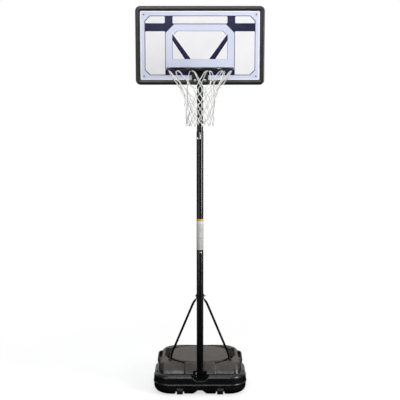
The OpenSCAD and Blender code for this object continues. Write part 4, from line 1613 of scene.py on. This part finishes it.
def makePanel():
    centreZ = (boardLow.z + boardHigh.z) / 2
    halfW, halfH, cut = pattern["octagon"]
    barIn, barOut = pattern["barX"]
    barLow, barHigh = pattern["barZ"]
    line = pattern["line"]
    squareW, squareLow, squareTop, squareCut = pattern["square"]
    windowW, windowLow, windowTop, windowCut = pattern["window"]
    white, lavender, pale, navy = 0, 1, 2, 3
    layers = []
    seenW = (boardHigh.x - boardLow.x) / 2 / mm - 32
    seenH = (boardHigh.z - boardLow.z) / 2 / mm - 32
    fieldW = seenW - pattern["margin"]
    fieldH = seenH - pattern["margin"]
    layers.append((1, lavender, cutRect(-fieldW, -fieldH, fieldW, fieldH, (3,) * 4)))
    layers.append((2, navy, cutRect(-halfW, -halfH, halfW, halfH, (cut,) * 4)))
    inW = halfW - line
    inH = halfH - line
    inCut = cut - 1
    # pale boxes along the top
    layers.append((3, pale, cutRect(-barIn, barHigh, barIn, inH, (5, 5, 5, 5))))
    corner = cutRect(barOut + 2, barHigh + 2, inW, inH, (4, 4, inCut, 4))
    layers.append((3, pale, corner))
    layers.append((3, pale, mirrored(corner)))
    # tall side boxes
    sideBox = cutRect(squareW + line, -inH, inW, barLow, (0, inCut, 4, 4))
    layers.append((3, pale, sideBox))
    layers.append((3, pale, mirrored(sideBox)))
    # shooter's square, window, stripes
    cuts = (0, 0, squareCut, squareCut)
    layers.append((4, lavender, cutRect(-squareW, squareLow, squareW, squareTop, cuts)))
    cuts = (3, 3, windowCut, windowCut)
    layers.append((5, navy, cutRect(-windowW, windowLow, windowW, windowTop, cuts)))
    inset = 2.0
    pane = cutRect(-windowW + inset, windowLow + 0.5, windowW - inset, windowTop - inset, cuts)
    layers.append((6, pale, pane))
    stripe = pattern["stripe"]
    edge = pattern["stripeEdge"]
    layers.append((7, white, edge))
    layers.append((7, white, mirrored(edge)))
    layers.append((8, navy, stripe))
    layers.append((8, navy, mirrored(stripe)))
    low = -(panelHigh.z - panelLow.z) / 2 / mm
    half = (panelHigh.x - panelLow.x) / 2 / mm
    notchTop = low + (boardLow.z + 0.0985 - panelLow.z) / mm
    sheet = [(-half, low), (-48.5, low), (-48.5, notchTop), (48.5, notchTop), (48.5, low), (half, low)]
    sheet += [(half, -low), (-half, -low)]
    shapes = [(*plate([(x * mm, z * mm) for x, z in sheet], panelLow.y, panelHigh.y, (0, centreZ)), white)]
    for level, ink, outline in layers:
        front = panelLow.y - level * pattern["step"]
        shapes.append(
            (*plate([(x * mm, z * mm) for x, z in outline], front, panelLow.y + 0.0005, (0, centreZ)), ink)
        )
    made = makeObject("printedPanel", shapes, [sheetWhite, inkLavender, inkPale, inkNavy], sharp=20)
    settle(made, "top", "panel_plastic", "board_panel")
    # corner screws
    screwLow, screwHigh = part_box("corner_screws")
    xs = (screwLow.x + 0.0045, screwHigh.x - 0.0045)
    zs = (screwLow.z + 0.0045, screwHigh.z - 0.0045)
    head = makeObject(
        "cornerUnit",
        [discShape(0.0045, 0, 0.0012), boxShape((-0.0028, -0.0005, 0.0009), (0.0028, 0.0005, 0.0016))],
        [electroCoat], bevel=0.0002
    )
    spots = [(Vector((x, screwLow.y + 0.0016, z)), towardFront) for x in xs for z in zs]
    placeSet("cornerScrewHeads", head, spots, "corner_screws", "top", electroCoat, "screw_black", 35)


makePanel()
for node in ("cross_bar", "lower_bracket", "upper_bracket"):
    easedNode(node, "top", "bracket_steel", electroCoat, 0.0007)
print("backboard ready")


# rim

rim = {"bar": 0.008, "radius": 0.1985, "hooks": 12, "hookWire": 0.0016, "hookReach": 0.006}


def makeRim():
    circle = [
        (rim["radius"] + rim["bar"] * math.cos(a), rim["bar"] * math.sin(a))
        for a in np.linspace(0, 2 * math.pi, 24, endpoint=False)
    ]
    ring = makeObject("rimBar", [ringLathe(circle, rimCentre, segments=144)], [rimEnamel], sharp=60)
    settle(ring, "top", "rim_steel", "rim_ring")
    easedNode("rim_plate", "top", "rim_steel", electroCoat, 0.0008)
    easedNode("rim_support", "top", "rim_steel", electroCoat, 0.0006)
    hookPath = []
    for k in range(13):
        a = math.pi * k / 12
        hookPath.append((0, -rim["hookReach"] * math.cos(a), -rim["bar"] - rim["hookReach"] * math.sin(a)))
    unit = cordShape("hookUnit", [hookPath], rim["hookWire"], 10, rimEnamel)
    places = []
    for k in range(rim["hooks"]):
        a = 2 * math.pi * (k + 0.5) / rim["hooks"]
        spot = rimCentre + Vector((rim["radius"] * math.cos(a), rim["radius"] * math.sin(a), 0))
        places.append((spot, (0, 0, a)))
    placeSet("netHookSet", unit, places, "net_hooks", "top", rimEnamel, "rim_steel", 50)


makeRim()
print("rim ready")


# net

net = {
    "cord": 0.0024,
    "knot": 0.0031,
    "loops": 12,
    "seed": 7,
    # height below the rim's centre and radius at each row of knots, mm
    "rows": [(14, 196), (84, 143), (132, 111), (176, 95), (220, 87), (262, 83), (302, 81), (336, 81)],
    "wander": 0.0045,
    "twist": 0.30,  # how far the mouth hangs turned, in cord spacings
}


def makeNet():
    chance = random.Random(net["seed"])
    loops = net["loops"]
    knots = []
    for row, (drop, radius) in enumerate(net["rows"]):
        ring = []
        for k in range(loops):
            shift = 0.5 if row % 2 == 0 else 0.0
            shift += net["twist"] * min(1, row / 3)
            a = 2 * math.pi * (k + shift) / loops
            loose = 0 if row == 0 else net["wander"]
            r = radius * mm + chance.uniform(-loose, loose)
            a += chance.uniform(-1, 1) * loose / max(r, 0.05)
            z = rimCentre.z - drop * mm + chance.uniform(-loose, loose)
            ring.append(Vector((rimCentre.x + r * math.cos(a), rimCentre.y + r * math.sin(a), z)))
        knots.append(ring)
    paths = []
    for row in range(len(knots) - 1):
        for k in range(loops):
            # each knot sends one cord to each side of the next row
            for way in (0, 1) if row % 2 == 0 else (0, -1):
                there = knots[row + 1][(k + way) % loops]
                run = hookLoop if row == 0 else cordRun
                paths.append(run(knots[row][k], there, chance))
    # short tails under the last knots
    for spot in knots[-1]:
        lean = Vector((chance.uniform(-0.002, 0.002), chance.uniform(-0.002, 0.002), 0))
        paths.append([spot, spot + lean - Vector((0, 0, 0.004)), spot + lean * 2 - Vector((0, 0, 0.0085))])
    cords = cordShape("netCords", paths, net["cord"], 8, netBraid)
    # a knot is one and a half turns of the same cord
    ties = []
    for row in knots[1:]:
        for spot in row:
            tilt = (chance.uniform(-0.3, 0.3), chance.uniform(-0.3, 0.3), chance.uniform(0, 6.28))
            ties.append((spot, tilt))
    turns = []
    for k in range(17):
        a = 2 * math.pi * k / 11
        wide = net["knot"]
        turns.append((wide * math.cos(a), wide * math.sin(a), 0.0022 * math.sin(a * 0.5 + 0.4)))
    unit = cordShape("knotUnit", [turns], net["cord"], 6, netBraid)
    knotSet = repeatShape("netKnots", unit, ties, netBraid)
    made = joinObjects("netWeb", [cords, knotSet])
    shadeSmooth(made, 60)
    settle(made, "top", "net_cord", "net")


# half of the loop that hangs on a hook: over the wire, out, then down to the first knot
def hookLoop(here, there, chance):
    points = []
    steps = 16
    axis = Vector((rimCentre.x, rimCentre.y, 0))
    start = math.atan2(here.y - axis.y, here.x - axis.x)
    turn = math.atan2(there.y - axis.y, there.x - axis.x) - start
    turn = (turn + math.pi) % (2 * math.pi) - math.pi
    nearRadius = math.hypot(here.x - axis.x, here.y - axis.y)
    farRadius = math.hypot(there.x - axis.x, there.y - axis.y)
    bow = chance.uniform(-0.002, 0.003)
    for i in range(steps + 1):
        t = (i / steps) ** 1.6
        share = 0.36 * (1 - math.exp(-t * 11)) + 0.64 * t**1.5
        radius = nearRadius + (farRadius - nearRadius) * t + bow * math.sin(math.pi * t)
        angle = start + turn * share
        drop = (here.z - there.z) * t ** (1 + 0.5 * math.exp(-t * 8))
        points.append(
            Vector((axis.x + radius * math.cos(angle), axis.y + radius * math.sin(angle), here.z - drop))
        )
    return points


# one cord between two knots: leaves and arrives steeply, with a little slack
def cordRun(here, there, chance):
    points = []
    steps = 9
    bow = chance.uniform(-0.003, 0.003)
    axis = Vector((rimCentre.x, rimCentre.y, 0))
    for i in range(steps + 1):
        t = i / steps
        eased = t * t * (3 - 2 * t)
        spot = here.lerp(there, t)
        flat = here.lerp(there, 0.45 * t + 0.55 * eased)
        spot.x = flat.x
        spot.y = flat.y
        outward = (Vector((spot.x, spot.y, 0)) - axis).normalized()
        spot += outward * (bow * math.sin(math.pi * t))
        points.append(spot)
    return points


makeNet()
print("net ready")
